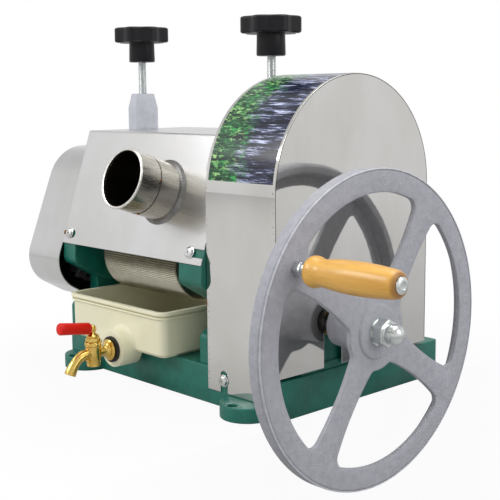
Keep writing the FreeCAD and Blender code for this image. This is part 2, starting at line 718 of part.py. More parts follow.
def make_wheel():
    front = size.wheel_front
    disc = front + size.hub_disc_proud
    back = front - size.rim_deep
    web = front - size.web_deep
    bevel = size.rim_bevel
    profile = [
        (disc, size.crank_round), (disc, size.hub_disc_round - 2), (disc - 2, size.hub_disc_round),
        (front, size.hub_disc_round), (front, size.wheel_round - bevel), (front - bevel, size.wheel_round),
        (back + bevel, size.wheel_round), (back, size.wheel_round - bevel), (back, size.rim_flange),
        (web, size.rim_flange - 5), (web, size.wheel_hub_round + 10), (web - 7, size.wheel_hub_round + 4),
        (size.wheel_hub_left, size.wheel_hub_round), (size.wheel_hub_left, size.crank_round),
    ]
    face = Part.Face(outline([(along, radius, 0) for along, radius in profile], "z", 0))
    wheel = face.revolve(V(0, 0, 0), V(1, 0, 0), 360)
    deep = size.web_deep + 2

    def spot(u, v):
        return V(0, u, v)

    half = size.spoke_half
    wide = half + size.spoke_flare
    near = half + 0.75 * size.spoke_flare
    reach = size.rim_flange
    halfway = size.wheel_round / 2
    edges = [
        Part.Arc(spot(2 * half, near), spot(halfway, half), spot(reach, wide)).toShape(),
        Part.LineSegment(spot(reach, wide), spot(reach, reach)).toShape(),
        Part.LineSegment(spot(reach, reach), spot(wide, reach)).toShape(),
        Part.Arc(spot(wide, reach), spot(half, halfway), spot(near, 2 * half)).toShape(),
        Part.LineSegment(spot(near, 2 * half), spot(2 * half, near)).toShape(),
    ]
    window = Part.Face(Part.Wire(edges)).extrude(V(deep, 0, 0))
    ring = Part.makeCylinder(size.rim_inner, deep, V(0, 0, 0), V(1, 0, 0))
    ring = ring.cut(Part.makeCylinder(size.hub_window, deep, V(0, 0, 0), V(1, 0, 0)))
    window = window.common(ring)

    def corners_at(radius):
        return [edge for edge in window.Edges if edge.BoundBox.XLength > deep - 0.01
                and abs(math.hypot(edge.CenterOfMass.y, edge.CenterOfMass.z) - radius) < 1]

    window = window.makeFillet(size.window_outer_round, corners_at(size.rim_inner))
    window = window.makeFillet(size.window_inner_round, corners_at(size.hub_window))
    window.translate(V(front - size.web_deep - 1, 0, 0))
    for i in range(4):
        piece = window.copy()
        piece.rotate(V(0, 0, 0), V(1, 0, 0), size.pin_angle + 90 * i)
        wheel = wheel.cut(piece)
    pin = math.radians(size.pin_angle)
    wheel = wheel.cut(Part.makeCylinder(size.pin_round, size.rim_deep, V(
        front - size.rim_deep + 1, size.pin_out * math.cos(pin), size.pin_out * math.sin(pin)), V(1, 0, 0)))
    wheel.translate(V(0, size.crank_y, size.crank_high))
    return wheel


node(shaped(make_wheel()), "handwheel")

# Dome nut that holds the wheel on
NUT_SEAT = "wheel_front + hub_disc_proud"
nut_hex = hexagon("nut_across / sqrt(3)", "0.47 * nut_tall", (NUT_SEAT, "crank_y", "crank_high"))
nut_dome = turned([("0", "0"), ("0", "0.46 * nut_across"), ("0.62 * nut_tall", "0.46 * nut_across"),
                   ("0.85 * nut_tall", "0.36 * nut_across"), ("nut_tall", "0.12 * nut_across"),
                   ("nut_tall", "0")],
                  (NUT_SEAT, "crank_y", "crank_high"))
nut_bore = rod("10", "22", (NUT_SEAT, "crank_y", "crank_high"))
node(cut(join(nut_hex, nut_dome), nut_bore), "dome_nut")

# Crank pin, its nut and the wooden grip that turns on it
PIN_Y = "crank_y + pin_out * cos(pin_angle)"
PIN_Z = "crank_high + pin_out * sin(pin_angle)"
pin_profile = [
    ("wheel_front - web_deep - 7", "0"), ("wheel_front - web_deep - 7", "8.5"),
    ("wheel_front - web_deep", "8.5"), ("wheel_front - web_deep", "pin_round"),
    ("grip_right + slide_play", "pin_round"), ("grip_right + slide_play", "pin_cap_round"),
    ("grip_right + 3", "0.8 * pin_cap_round"), ("grip_right + 3", "0"),
]
node(turned(pin_profile, ("0", PIN_Y, PIN_Z)), "crank_pin")
pin_nut = cut(hexagon("9.8", "grip_left - 0.3 - wheel_front", ("wheel_front", PIN_Y, PIN_Z)),
              rod("pin_round", "grip_left - wheel_front", ("wheel_front", PIN_Y, PIN_Z)))
node(pin_nut, "pin_nut")


GRIP_BORE = "pin_round + shaft_play"
grip_profile = [
    ("grip_left", GRIP_BORE), ("grip_left", "grip_end"), ("grip_left + 3", "grip_bulb - 2.6"),
    ("grip_left + 9", "grip_bulb"), ("grip_left + 19", "grip_bulb - 0.6"), ("grip_left + 35", "grip_neck"),
    ("grip_left + 52", "grip_neck + 0.6"), ("grip_left + 84", "grip_belly"),
    ("grip_right - 12", "grip_belly - 1"), ("grip_right - 2", "grip_end + 1"), ("grip_right", "grip_end - 2"),
    ("grip_right", GRIP_BORE),
]
node(turned(grip_profile, ("0", PIN_Y, PIN_Z)), "crank_grip")


# Stainless hood: slanted feed panel, roof and short back, bent from one sheet

def make_hood():
    out_corners = [(size.panel_low_y, size.panel_low_z), (size.panel_top_y, size.roof_high),
                   (2 * size.mill_y - size.panel_top_y, size.roof_high)]
    back_y = 2 * size.mill_y - (panel_back(size.hood_back_low) - size.sheet / lean_z)
    out_corners.append((back_y, size.hood_back_low))
    shift = size.sheet / lean_z
    in_corners = [(size.panel_low_y + shift, size.panel_low_z),
                  (panel_back(size.roof_high - size.sheet), size.roof_high - size.sheet),
                  (2 * size.mill_y - panel_back(size.roof_high - size.sheet), size.roof_high - size.sheet),
                  (back_y - shift, size.hood_back_low)]
    corners = [(out_corners[0][0], out_corners[0][1], 0), (out_corners[1][0], out_corners[1][1], 4),
               (out_corners[2][0], out_corners[2][1], 4), (out_corners[3][0], out_corners[3][1], 0),
               (in_corners[3][0], in_corners[3][1], 0), (in_corners[2][0], in_corners[2][1], 2.5),
               (in_corners[1][0], in_corners[1][1], 2.5), (in_corners[0][0], in_corners[0][1], 0)]
    hood = slab(corners, "x", size.panel_left, size.panel_right)
    for x in (size.left_screw_x, size.right_screw_x):
        hood = hood.cut(Part.makeCylinder(size.tower_round + 2.5, 12, V(x, size.mill_y, size.roof_high - 8)))
    return hood


def on_panel(x, up, out=0):
    """A point on the feed panel, up from its low edge and out from its outer face."""
    return V(x, size.panel_low_y + up * lean_y - out * lean_z, size.panel_low_z + up * lean_z + out * lean_y)


OUT = V(0, -lean_z, lean_y)


def panel_bar(radius, x, up, start, end):
    return Part.makeCylinder(radius, end - start, on_panel(x, up, start), OUT)


hood_shape = make_hood()
hood_shape = hood_shape.cut(panel_bar(size.tube_round, size.tube_x, size.tube_up, -6, 6))
slot_half = 5.5


def panel_slot(x_from, x_to):
    """A slot with round ends through the panel."""
    shape = panel_bar(slot_half, x_from, size.hood_screw_up, -4, 4)
    shape = shape.fuse(panel_bar(slot_half, x_to, size.hood_screw_up, -4, 4))
    low = on_panel(x_from, size.hood_screw_up - slot_half, -4)
    run = on_panel(x_from, size.hood_screw_up + slot_half, -4) - low
    face = Part.Face(Part.makePolygon([low, low + run, low + run + OUT * 8, low + OUT * 8, low]))
    return shape.fuse(face.extrude(V(x_to - x_from, 0, 0)))


hood_shape = hood_shape.cut(panel_slot(size.hood_screw_left_x - 1, size.hood_screw_left_x + 7))
hood_shape = hood_shape.cut(panel_slot(size.hood_screw_right_x - 1, size.panel_right + 6))
node(shaped(hood_shape), "feed_hood")


def make_tube():
    outer = size.tube_round
    inner = outer - size.tube_wall
    seam = size.tube_long * 0.52
    sleeve = outer + size.tube_step
    end = size.tube_long
    lip = end - 2 * size.tube_lip
    profile = [
        (-size.tube_inside, inner), (-size.tube_inside, outer), (seam, outer), (seam, sleeve),
        (lip, sleeve), (lip, outer + size.tube_lip), (end, outer + size.tube_lip), (end, inner),
    ]
    face = Part.Face(outline([(along, radius, 0) for along, radius in profile], "z", 0))
    shape = face.revolve(V(0, 0, 0), V(1, 0, 0), 360)
    turn = FreeCAD.Rotation(V(1, 0, 0), OUT)
    shape.Placement = FreeCAD.Placement(on_panel(size.tube_x, size.tube_up), turn)
    return shape


node(shaped(make_tube()), "feed_tube")


def sheet_screw(at, way):
    """A pan head screw with its washer, seated at a spot on sheet metal and facing one way."""
    head = size.sheet_screw_head
    washer = 1
    profile = [(-size.sheet, 0), (-size.sheet, 0.5 * head), (0, 0.5 * head), (0, 1.15 * head),
               (washer, 1.15 * head), (washer, head), (washer + 0.35 * head, head),
               (washer + 0.6 * head, 0.65 * head), (washer + 0.6 * head, 0)]
    face = Part.Face(outline([(along, radius, 0) for along, radius in profile], "z", 0))
    screw = face.revolve(V(0, 0, 0), V(1, 0, 0), 360)
    screw.Placement = FreeCAD.Placement(at, FreeCAD.Rotation(V(1, 0, 0), way))
    return screw


hood_screws = [sheet_screw(on_panel(x, size.hood_screw_up), OUT)
               for x in (size.hood_screw_left_x, size.hood_screw_right_x)]
node(shaped(Part.makeCompound(hood_screws)), "hood_screws")

# Right gear cover: an arched sheet box, open towards the side frame

def arched(low, high, front, back, foot, radius):
    body = box("%s - (%s)" % (high, low), "%s - (%s)" % (back, front), "arch_high - (%s)" % foot,
               (low, front, foot))
    arch = rod(radius, "%s - (%s)" % (high, low), (low, "arch_y", "arch_high"))
    return join(body, arch)


COVER_FRONT = "(arch_y - arch_round)"
COVER_BACK = "(arch_y + arch_round)"
cover_skin = arched("cover_in", "cover_out", COVER_FRONT, COVER_BACK, "face_foot", "arch_round")
cover_room = arched("cover_in - 5", "cover_out - sheet", COVER_FRONT + " + sheet", COVER_BACK + " - sheet",
                    "face_foot - 5", "arch_round - sheet")
cover_shell = cut(cover_skin, cover_room)
apron = box("cover_out - cover_in", "sheet", "face_foot - band_foot + 4",
            ("cover_in", COVER_FRONT, "band_foot"))
shaft_slot = join(box("20", "2 * slot_round", "slot_high - face_foot + 10",
                      ("cover_out - 10", "crank_y - slot_round", "face_foot - 10")),
                  rod("slot_round", "20", ("cover_out - 10", "crank_y", "slot_high")))
NOTCH_SPOTS = ("cover_in + notch_inset", "cover_out - notch_inset")
notches = []
for spot_x in NOTCH_SPOTS:
    notches.append(box("2 * notch_round", "10", "notch_high - band_foot + 2",
                       (spot_x + " - notch_round", COVER_FRONT + " - 5", "band_foot - 2")))
    notches.append(rod("notch_round", "10", (spot_x, COVER_FRONT + " - 5", "notch_high"), "y"))
node(cut(join(cover_shell, apron), shaft_slot, *notches), "right_gear_cover")


cover_screws = [sheet_screw(V(x, size.arch_y - size.arch_round, size.cover_screw_high), V(0, -1, 0))
                for x in (size.cover_in + size.notch_inset, size.cover_out - size.notch_inset)]
node(shaped(Part.makeCompound(cover_screws)), "cover_screws")


# Left gear cover: a rounded sheet box around the three roller gears

def make_left_cover():
    line = mirrored_outline([
        (size.mill_y - size.left_cover_low_half, size.left_cover_low, 30),
        (size.mill_y - size.left_cover_half, size.left_cover_wide_high, 46),
        (size.mill_y - size.left_cover_top_half, size.left_cover_top, 62),
    ])
    low = size.left_cover_out
    high = size.left_cover_in
    shape = slab(line, "x", low, high)
    room = inset_slab(line, "x", low + size.sheet, high + 1, size.sheet)
    return shape.cut(room)


node(shaped(make_left_cover()), "left_gear_cover")

# Turner plate between the lower rollers, and the chute that carries the crushed cane away
TURNER = [
    ("mill_y - 7.5", "low_high - 12"), ("mill_y - 9.5", "low_high + 8"), ("mill_y - 16.5", "low_high + 22"),
    ("mill_y", "low_high + 19.5"), ("mill_y + 16.5", "low_high + 22"), ("mill_y + 9.5", "low_high + 8"),
    ("mill_y + 7.5", "low_high - 12"),
]
node(padded("YZ_Plane", TURNER, "right_head_in - left_head_in", ("left_head_in", "0", "0")), "turner_plate")
CHUTE_TOP = "rear_y + roller_round"
CHUTE = [
    (CHUTE_TOP + " + 3", "low_high - 24"), (CHUTE_TOP + " + 22", "low_high - 50"),
    (CHUTE_TOP + " + 72", "low_high - 84"), (CHUTE_TOP + " + 73", "low_high - 82.6"),
    (CHUTE_TOP + " + 23", "low_high - 48.4"), (CHUTE_TOP + " + 4.2", "low_high - 22.8"),
]
node(padded("YZ_Plane", CHUTE, "right_head_in - left_head_in", ("left_head_in", "0", "0")), "bagasse_chute")

# Bolts that hold the side frames and the pedestal down, from under the deck and on the foot
frame_bolts = []
UNDER_DECK = "base_tall - deck_thick - 7"
for bolt_x in ("base_wall + 8 - base_long / 2", "right_leg_in + leg_thick / 2"):
    for bolt_y in ("leg_front + 22", "leg_back - 28"):
        frame_bolts.append(hex_head(bolt_x, bolt_y, UNDER_DECK, "7.5", "7"))
node(together(*frame_bolts), "frame_bolts")
pedestal_bolts = []
for sign in ("-", "+"):
    pedestal_bolts.append(hex_head("pedestal_left - pedestal_toe / 2", "crank_y %s 40" % sign,
                                   "base_tall + pedestal_foot", "8.1", "6.4"))
node(together(*pedestal_bolts), "pedestal_bolts")


# Juice tray with a rolled lip and a round sump at the front

def make_tray():
    left, right = size.tray_left, size.tray_right
    front, back = size.tray_front, size.tray_back
    low = size.base_tall + size.slide_play
    high = low + size.tray_tall
    wall = size.tray_wall
    corner = size.tray_corner
    plan = [(left, front, corner), (right, front, corner), (right, back, corner), (left, back, corner)]
    reach = size.lip_out
    rim = [(left - reach, front - reach, corner + reach), (right + reach, front - reach, corner + reach),
           (right + reach, back + reach, corner + reach), (left - reach, back + reach, corner + reach)]
    outer = slab(plan, "z", low, high)
    soft = [edge for edge in outer.Edges if edge.BoundBox.ZMax < low + 0.01]
    outer = outer.makeChamfer(4, soft)
    lip = slab(rim, "z", high - size.lip_tall, high)
    shape = outer.fuse(lip)
    face_y = front - size.sump_out
    sump_long = size.sump_out + 16
    back = V(0, 1, 0)
    sump = Part.makeCylinder(size.sump_round, sump_long, V(size.sump_x, face_y, size.sump_high), back)
    ends = [edge for edge in sump.Edges if edge.BoundBox.YLength < 0.01 and edge.BoundBox.YMin > face_y + 1]
    sump = sump.makeChamfer(3, ends)
    shape = shape.fuse(sump)
    room = inset_slab(plan, "z", low + wall, high + 1, wall)
    shape = shape.cut(room)
    shape = shape.cut(Part.makeCylinder(size.sump_round - wall, sump_long - 2 * wall,
                                        V(size.sump_x, face_y + wall, size.sump_high), back))
    shape = shape.cut(Part.makeCylinder(size.pipe_round, wall + 2,
                                        V(size.sump_x, face_y - 1, size.sump_high), back))
    return shape.removeSplitter()


node(shaped(make_tray()), "juice_tray")

# Tap: seal, body with spout, backnut, turning plug and red lever sleeve
SUMP_FACE = "tray_front - sump_out"
seal = cut(rod("17", "3.5", ("sump_x", SUMP_FACE + " - 3.5", "sump_high"), "y"),
           rod("pipe_round", "6", ("sump_x", SUMP_FACE + " - 4.5", "sump_high"), "y"))
node(seal, "tap_seal")
backnut = cut(rod("13", "6", ("sump_x", SUMP_FACE + " + tray_wall", "sump_high"), "y"),
              rod("pipe_round", "9", ("sump_x", SUMP_FACE + " + tray_wall - 1", "sump_high"), "y"))
node(backnut, "tap_backnut")


def mitred_pipe(path, radius):
    """A round bar along straight runs, mitred where they meet."""
    ring = Part.Wire(Part.makeCircle(radius, path[0], path[1] - path[0]))
    return Part.makePolygon(path).makePipeShell([ring], True, False, 1)


def make_tap():
    face_y = size.tray_front - size.sump_out
    x, z = size.sump_x, size.sump_high
    back = V(0, 1, 0)
    barrel_low = z - size.barrel_tall / 2
    pipe_long = face_y + size.tray_wall + 8 - size.tap_y
    pipe = Part.makeCylinder(size.pipe_round, pipe_long, V(x, size.tap_y, z), back)
    flange = Part.makeCylinder(14, 3, V(x, face_y - 6.5, z), back)
    barrel = Part.makeCylinder(size.barrel_round, size.barrel_tall, V(x, size.tap_y, barrel_low))
    cap = Part.makeCylinder(size.barrel_round - 1.5, 2, V(x, size.tap_y, barrel_low - 2))
    here = V(x, size.tap_y - size.barrel_round + 4, z)
    path = [here]
    for turn, run in ((12, 14), (38, 12), (60, 14)):
        angle = math.radians(turn)
        here = here + V(0, -run * math.cos(angle), -run * math.sin(angle))
        path.append(here)
    spout = mitred_pipe(path, size.spout_round)
    path[-1] = path[-1] + (path[-1] - path[-2]) * 0.2
    path[0] = V(x, size.tap_y, z)
    bore = mitred_pipe(path, size.spout_bore)
    shape = pipe.fuse([flange, barrel, cap, spout]).cut(bore)
    shape = shape.cut(Part.makeCylinder(size.spout_bore, pipe_long + 1, V(x, size.tap_y, z), back))
    shape = shape.cut(Part.makeCylinder(size.plug_round + size.shaft_play, size.barrel_tall + 6,
                                        V(x, size.tap_y, barrel_low + 2)))
    return shape.removeSplitter()


node(shaped(make_tap()), "tap_body")


def make_plug():
    x, y, z = size.sump_x, size.tap_y, size.sump_high
    low = z - size.barrel_tall / 2 + 2.3
    top = z + size.barrel_tall / 2
    shape = Part.makeCylinder(size.plug_round, top + 0.4 - low, V(x, y, low))
    bonnet = Part.Face(Part.makePolygon([V(x + 10 * math.cos(math.radians(60 * i)),
                                           y + 10 * math.sin(math.radians(60 * i)), top + 0.4)
                                         for i in range(7)])).extrude(V(0, 0, 4.6))
    collar = Part.makeCone(8.4, 5, 4.5, V(x, y, top + 5))
    stem = Part.makeCylinder(3.4, 8, V(x, y, top + 9))
    knob = Part.makeCylinder(4.6, 8.4, V(x, y, top + 13.3))
    tilt = math.radians(size.lever_tilt)
    way = V(0, -math.cos(tilt), math.sin(tilt))
    arm = Part.makeCylinder(2.4, size.lever_long, V(x, y, top + 17.5), way)
    port = Part.makeCylinder(4.2, 30, V(x - 15, y, z), V(1, 0, 0))
    shape = shape.cut(port)
    return shape.fuse([bonnet, collar, stem, knob, arm]).removeSplitter()


def make_sleeve():
    x, y = size.sump_x, size.tap_y
    top = size.sump_high + size.barrel_tall / 2
    tilt = math.radians(size.lever_tilt)
    way = V(0, -math.cos(tilt), math.sin(tilt))
    start = V(x, y, top + 17.5) + way * 5.5
    long = size.lever_long - 4
    sleeve = Part.makeCylinder(6.8, long, start, way)
    ends = [edge for edge in sleeve.Edges if len(edge.Vertexes) == 1 and edge.Length > 30 and
            isinstance(edge.Curve, Part.Circle)]
    sleeve = sleeve.makeChamfer(1.6, ends)
    bore = Part.makeCylinder(2.4, size.lever_long - 5.5, start, way)
    return sleeve.cut(bore)


node(shaped(make_plug()), "tap_plug")
node(shaped(make_sleeve()), "tap_lever_sleeve")


# Checks, then one STEP file for each piece
doc.recompute()
for thing in doc.Objects:
    if "Invalid" in thing.State or "Error" in thing.State:
        raise RuntimeError("%s failed: %s" % (thing.Label, thing.State))
for thing in NODES:
    if thing.Shape.isNull() or not thing.Shape.isValid() or not thing.Shape.Solids:
        raise RuntimeError("%s has no valid solid" % thing.Label)
os.makedirs("parts", exist_ok=True)
for thing in NODES:
    thing.Shape.exportStep("parts/%s.step" % thing.Label)
print("%d pieces written" % len(NODES))
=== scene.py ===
import math

import bpy
import bmesh
from mathutils import Euler, Matrix, Vector


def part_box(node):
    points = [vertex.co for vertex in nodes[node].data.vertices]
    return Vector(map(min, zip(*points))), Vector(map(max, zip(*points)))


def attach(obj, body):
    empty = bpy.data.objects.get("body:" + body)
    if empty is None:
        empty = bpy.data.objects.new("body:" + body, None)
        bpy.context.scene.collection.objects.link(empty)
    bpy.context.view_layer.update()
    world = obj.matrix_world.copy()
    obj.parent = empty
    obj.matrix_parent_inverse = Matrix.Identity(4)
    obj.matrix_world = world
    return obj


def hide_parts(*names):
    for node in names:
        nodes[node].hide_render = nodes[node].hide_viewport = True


# A hand cranked cane mill on a bench end: cast green frames, polished sheet covers, a painted
# handwheel and a cream juice tray with a brass tap. Metres, in the model's own frame.

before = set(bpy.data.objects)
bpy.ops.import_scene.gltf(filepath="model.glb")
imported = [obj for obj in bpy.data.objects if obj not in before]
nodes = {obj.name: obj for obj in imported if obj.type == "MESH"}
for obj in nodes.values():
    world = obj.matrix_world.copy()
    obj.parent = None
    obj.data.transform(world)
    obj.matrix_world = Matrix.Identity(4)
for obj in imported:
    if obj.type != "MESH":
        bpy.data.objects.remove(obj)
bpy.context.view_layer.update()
MM = 0.001

# The hood's leaning panel: the ways out of it and up it, and in millimetres its foot and how far
# up it the feed tube and the screws sit
PANEL_OUT = Vector((0, -0.9481, 0.3180))
PANEL_UP = Vector((0, 0.3180, 0.9481))
PANEL_FOOT = Vector((0, -166, 174.3))
TUBE_UP = 86.5
SCREW_UP = 14.5


# Shader node groups shared by several finishes

def new_group(name, numbers, outputs, vectors=()):
    """An empty node group with number and vector inputs, and its two end nodes."""
    group = bpy.data.node_groups.new(name, "ShaderNodeTree")
    for socket_name, value in vectors:
        socket = group.interface.new_socket(socket_name, in_out="INPUT", socket_type="NodeSocketVector")
        socket.default_value = value
    for socket_name, value in numbers:
        socket = group.interface.new_socket(socket_name, in_out="INPUT", socket_type="NodeSocketFloat")
        socket.default_value = value
    for socket_name in outputs:
        group.interface.new_socket(socket_name, in_out="OUTPUT", socket_type="NodeSocketFloat")
    return group, group.nodes.new("NodeGroupInput"), group.nodes.new("NodeGroupOutput")


def feed(tree, target, value):
    """Link a socket into an input, or set the input to a plain value."""
    if isinstance(value, bpy.types.NodeSocket):
        tree.links.new(value, target)
    else:
        target.default_value = value


def math_node(tree, operation, first, second):
    """A math node; each operand is a socket or a number."""
    made = tree.nodes.new("ShaderNodeMath")
    made.operation = operation
    feed(tree, made.inputs[0], first)
    feed(tree, made.inputs[1], second)
    return made.outputs[0]


def noise_in(tree, vector, scale, detail=3.0, rough=0.5):
    """Noise over a point."""
    made = tree.nodes.new("ShaderNodeTexNoise")
    for name, value in (("Vector", vector), ("Scale", scale), ("Detail", detail), ("Roughness", rough)):
        feed(tree, made.inputs[name], value)
    return made.outputs["Fac"]


def spread(tree, value, low, high, to_low=0.0, to_high=1.0):
    """Stretch the part of a value between low and high over a new range."""
    made = tree.nodes.new("ShaderNodeMapRange")
    for name, number in (("Value", value), ("From Min", low), ("From Max", high),
                         ("To Min", to_low), ("To Max", to_high)):
        feed(tree, made.inputs[name], number)
    return made.outputs["Result"]


def vector_math(tree, operation, first, second):
    """A vector math node; a product is a vector, a distance or a dot product is a number."""
    made = tree.nodes.new("ShaderNodeVectorMath")
    made.operation = operation
    feed(tree, made.inputs[0], first)
    feed(tree, made.inputs[1], second)
    return made.outputs["Vector" if operation == "MULTIPLY" else "Value"]


def object_point(tree):
    return tree.nodes.new("ShaderNodeTexCoord").outputs["Object"]


def stretched_point(tree, stretch):
    """Object coordinates multiplied by a stretch along each axis."""
    return vector_math(tree, "MULTIPLY", object_point(tree), stretch)


def axis_of(tree, point, axis):
    """One coordinate of a point."""
    split = tree.nodes.new("ShaderNodeSeparateXYZ")
    tree.links.new(point, split.inputs[0])
    return split.outputs[axis]


def make_patches():
    """Soft uneven patches, for smudges, stains and tone."""
    group, given, out = new_group("soft_patches", [("Scale", 20.0), ("Low", 0.4), ("High", 0.6)], ["Mask"],
                                  [("Stretch", (1, 1, 1))])
    point = stretched_point(group, given.outputs["Stretch"])
    fog = noise_in(group, point, given.outputs["Scale"], 4.0, 0.55)
    group.links.new(spread(group, fog, given.outputs["Low"], given.outputs["High"]), out.inputs["Mask"])
    return group


def make_cast_skin():
    """The pebbled skin of a sand casting, as a height and as a tone."""
    group, given, out = new_group("cast_skin", [("Scale", 400.0)], ["Height", "Tone"])
    point = object_point(group)
    fine = noise_in(group, point, given.outputs["Scale"], 3.0, 0.6)
    broad = noise_in(group, point, math_node(group, "MULTIPLY", given.outputs["Scale"], 0.17), 3.0, 0.5)
    height = math_node(group, "ADD", fine, math_node(group, "MULTIPLY", broad, 1.6))
    group.links.new(height, out.inputs["Height"])
    group.links.new(spread(group, broad, 0.35, 0.65), out.inputs["Tone"])
    return group


def make_drawn_lines():
    """Fine parallel lines left by brushing or turning; the stretch is small along the lines."""
    group, given, out = new_group("drawn_lines", [("Scale", 900.0)], ["Lines"], [("Stretch", (0.02, 1, 1))])
    point = stretched_point(group, given.outputs["Stretch"])
    lines = noise_in(group, point, given.outputs["Scale"], 2.0, 0.5)
    group.links.new(spread(group, lines, 0.3, 0.7), out.inputs["Lines"])
    return group


PATCHES = make_patches()
CAST_SKIN = make_cast_skin()
DRAWN_LINES = make_drawn_lines()


# Materials

def blank(name):
    """A material with one Principled shader, and that shader."""
    material = bpy.data.materials.new(name)
    material.use_nodes = True
    tree = material.node_tree
    tree.nodes.clear()
    shader = tree.nodes.new("ShaderNodeBsdfPrincipled")
    out = tree.nodes.new("ShaderNodeOutputMaterial")
    tree.links.new(shader.outputs[0], out.inputs["Surface"])
    return material, tree, shader


def dress(tree, shader, **values):
    """Feed the shader's inputs, each by its name with low lines for spaces."""
    for name, value in values.items():
        feed(tree, shader.inputs[name.replace("_", " ")], value)


def place_group(tree, group, **values):
    """A shared group in a material, with its inputs set."""
    made = tree.nodes.new("ShaderNodeGroup")
    made.node_tree = group
    for name, value in values.items():
        made.inputs[name].default_value = value
    return made


def mix_colours(tree, mask, first, second):
    """Blend from the first colour to the second; a colour is a socket or three numbers."""
    made = tree.nodes.new("ShaderNodeMix")
    made.data_type = "RGBA"
    tree.links.new(mask, made.inputs["Factor"])
    for index, colour in ((6, first), (7, second)):
        feed(tree, made.inputs[index], (*colour, 1) if isinstance(colour, tuple) else colour)
    return made.outputs[2]


def raise_bump(tree, shader, height, distance, strength=1.0, edge=0.0):
    """Relief from a height, over edges softened by a small radius."""
    bump = tree.nodes.new("ShaderNodeBump")
    bump.inputs["Strength"].default_value = strength
    bump.inputs["Distance"].default_value = distance
    tree.links.new(height, bump.inputs["Height"])
    if edge:
        bevel = tree.nodes.new("ShaderNodeBevel")
        bevel.samples = 6
        bevel.inputs["Radius"].default_value = edge
        tree.links.new(bevel.outputs[0], bump.inputs["Normal"])
    tree.links.new(bump.outputs[0], shader.inputs["Normal"])


def sheet_steel(name, tint, roughness, stretch, wave=0.25):
    """Polished stainless sheet: faint drawn lines, smudges and a slight waviness."""
    material, tree, shader = blank(name)
    smudge = place_group(tree, PATCHES, Scale=9.0, Low=0.42, High=0.68, Stretch=(1, 1, 0.6)).outputs["Mask"]
    lines = place_group(tree, DRAWN_LINES, Scale=700.0, Stretch=stretch).outputs["Lines"]
    darker = (tint[0] * 0.9, tint[1] * 0.895, tint[2] * 0.87)
    worn = math_node(tree, "ADD", spread(tree, smudge, 0, 1, roughness, roughness + 0.03),
                     math_node(tree, "MULTIPLY", lines, 0.015))
    dress(tree, shader, Metallic=1, Base_Color=mix_colours(tree, smudge, tint, darker), Roughness=worn)
    waves = place_group(tree, PATCHES, Scale=6.0, Low=0.0, High=1.0, Stretch=(1, 1, 1)).outputs["Mask"]
    raise_bump(tree, shader, waves, 0.003, wave, edge=0.0008)
    return material


def enamel(name, colour, deep, roughness=0.32, skin=420.0, relief=0.0005):
    """Brushed-on enamel over a rough casting."""
    material, tree, shader = blank(name)
    cast = place_group(tree, CAST_SKIN, Scale=skin)
    dull = place_group(tree, PATCHES, Scale=30.0, Low=0.35, High=0.7).outputs["Mask"]
    dress(tree, shader, Base_Color=mix_colours(tree, cast.outputs["Tone"], deep, colour),
          Roughness=spread(tree, dull, 0, 1, roughness, roughness + 0.2))
    raise_bump(tree, shader, cast.outputs["Height"], relief, 0.7, edge=0.003)
    return material


def metal(name, tint, roughness, stretch=(1, 1, 1), lines=600.0, edge=0.0004, stain=None):
    """Turned, plated or polished metal, with an optional stain colour in patches."""
    material, tree, shader = blank(name)
    marks = place_group(tree, DRAWN_LINES, Scale=lines, Stretch=stretch).outputs["Lines"]
    patch = place_group(tree, PATCHES, Scale=60.0, Low=0.4, High=0.65).outputs["Mask"]
    second = stain or tuple(part * 0.8 for part in tint)
    dress(tree, shader, Metallic=1, Base_Color=mix_colours(tree, patch, tint, second),
          Roughness=spread(tree, marks, 0, 1, roughness, roughness + 0.12))
    raise_bump(tree, shader, marks, 0.0001, 0.4, edge=edge)
    return material


def plastic(name, colour, roughness, tone=0.85, soft=0.0, gloss=0.5):
    """Moulded plastic with a faint mottle; soft lets light into the material."""
    material, tree, shader = blank(name)
    mottle = place_group(tree, PATCHES, Scale=45.0, Low=0.3, High=0.7).outputs["Mask"]
    darker = tuple(part * tone for part in colour)
    dress(tree, shader, Base_Color=mix_colours(tree, mottle, colour, darker),
          Roughness=spread(tree, mottle, 0, 1, roughness, roughness + 0.1), Specular_IOR_Level=gloss,
          Subsurface_Weight=soft, Subsurface_Radius=(0.006, 0.005, 0.003))
    grain = place_group(tree, CAST_SKIN, Scale=900.0).outputs["Height"]
    raise_bump(tree, shader, grain, 0.0001, 0.5, edge=0.0015)
    return material


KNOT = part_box("crank_grip")[0] + Vector((0.012, 0.006, 0.0345))
GRIP_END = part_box("crank_grip")[1].x


def lacquered_wood(name):
    """Pale wood with long grain along X under orange lacquer, a small knot, and a darker end that is painted
    shade of the recess round the cap.
    """
    material, tree, shader = blank(name)
    point = stretched_point(tree, (0.09, 1, 1))
    grain = noise_in(tree, point, 260.0, 5.0, 0.65)
    broad = noise_in(tree, point, 70.0, 3.0, 0.5)
    ground = mix_colours(tree, spread(tree, broad, 0.35, 0.65), (0.7, 0.355, 0.05), (0.8, 0.45, 0.085))
    grained = mix_colours(tree, spread(tree, grain, 0.48, 0.78, 0, 0.55), ground, (0.5, 0.21, 0.025))
    away = vector_math(tree, "DISTANCE", object_point(tree), KNOT)
    knotted = mix_colours(tree, spread(tree, away, 0.004, 0.001), grained, (0.3, 0.11, 0.02))
    # Painted shade: the wood darkens over its last few millimetres, where the recess round the cap is in
    # shadow
    painted_end_shade = spread(tree, axis_of(tree, object_point(tree), "X"), GRIP_END - 0.005, GRIP_END - 0.0005, 0, 0.75)
    dress(tree, shader, Base_Color=mix_colours(tree, painted_end_shade, knotted, (0.22, 0.075, 0.012)), Roughness=0.38,
          Coat_Weight=0.35, Coat_Roughness=0.15)
    raise_bump(tree, shader, grain, 0.0003, 0.4)
    return material


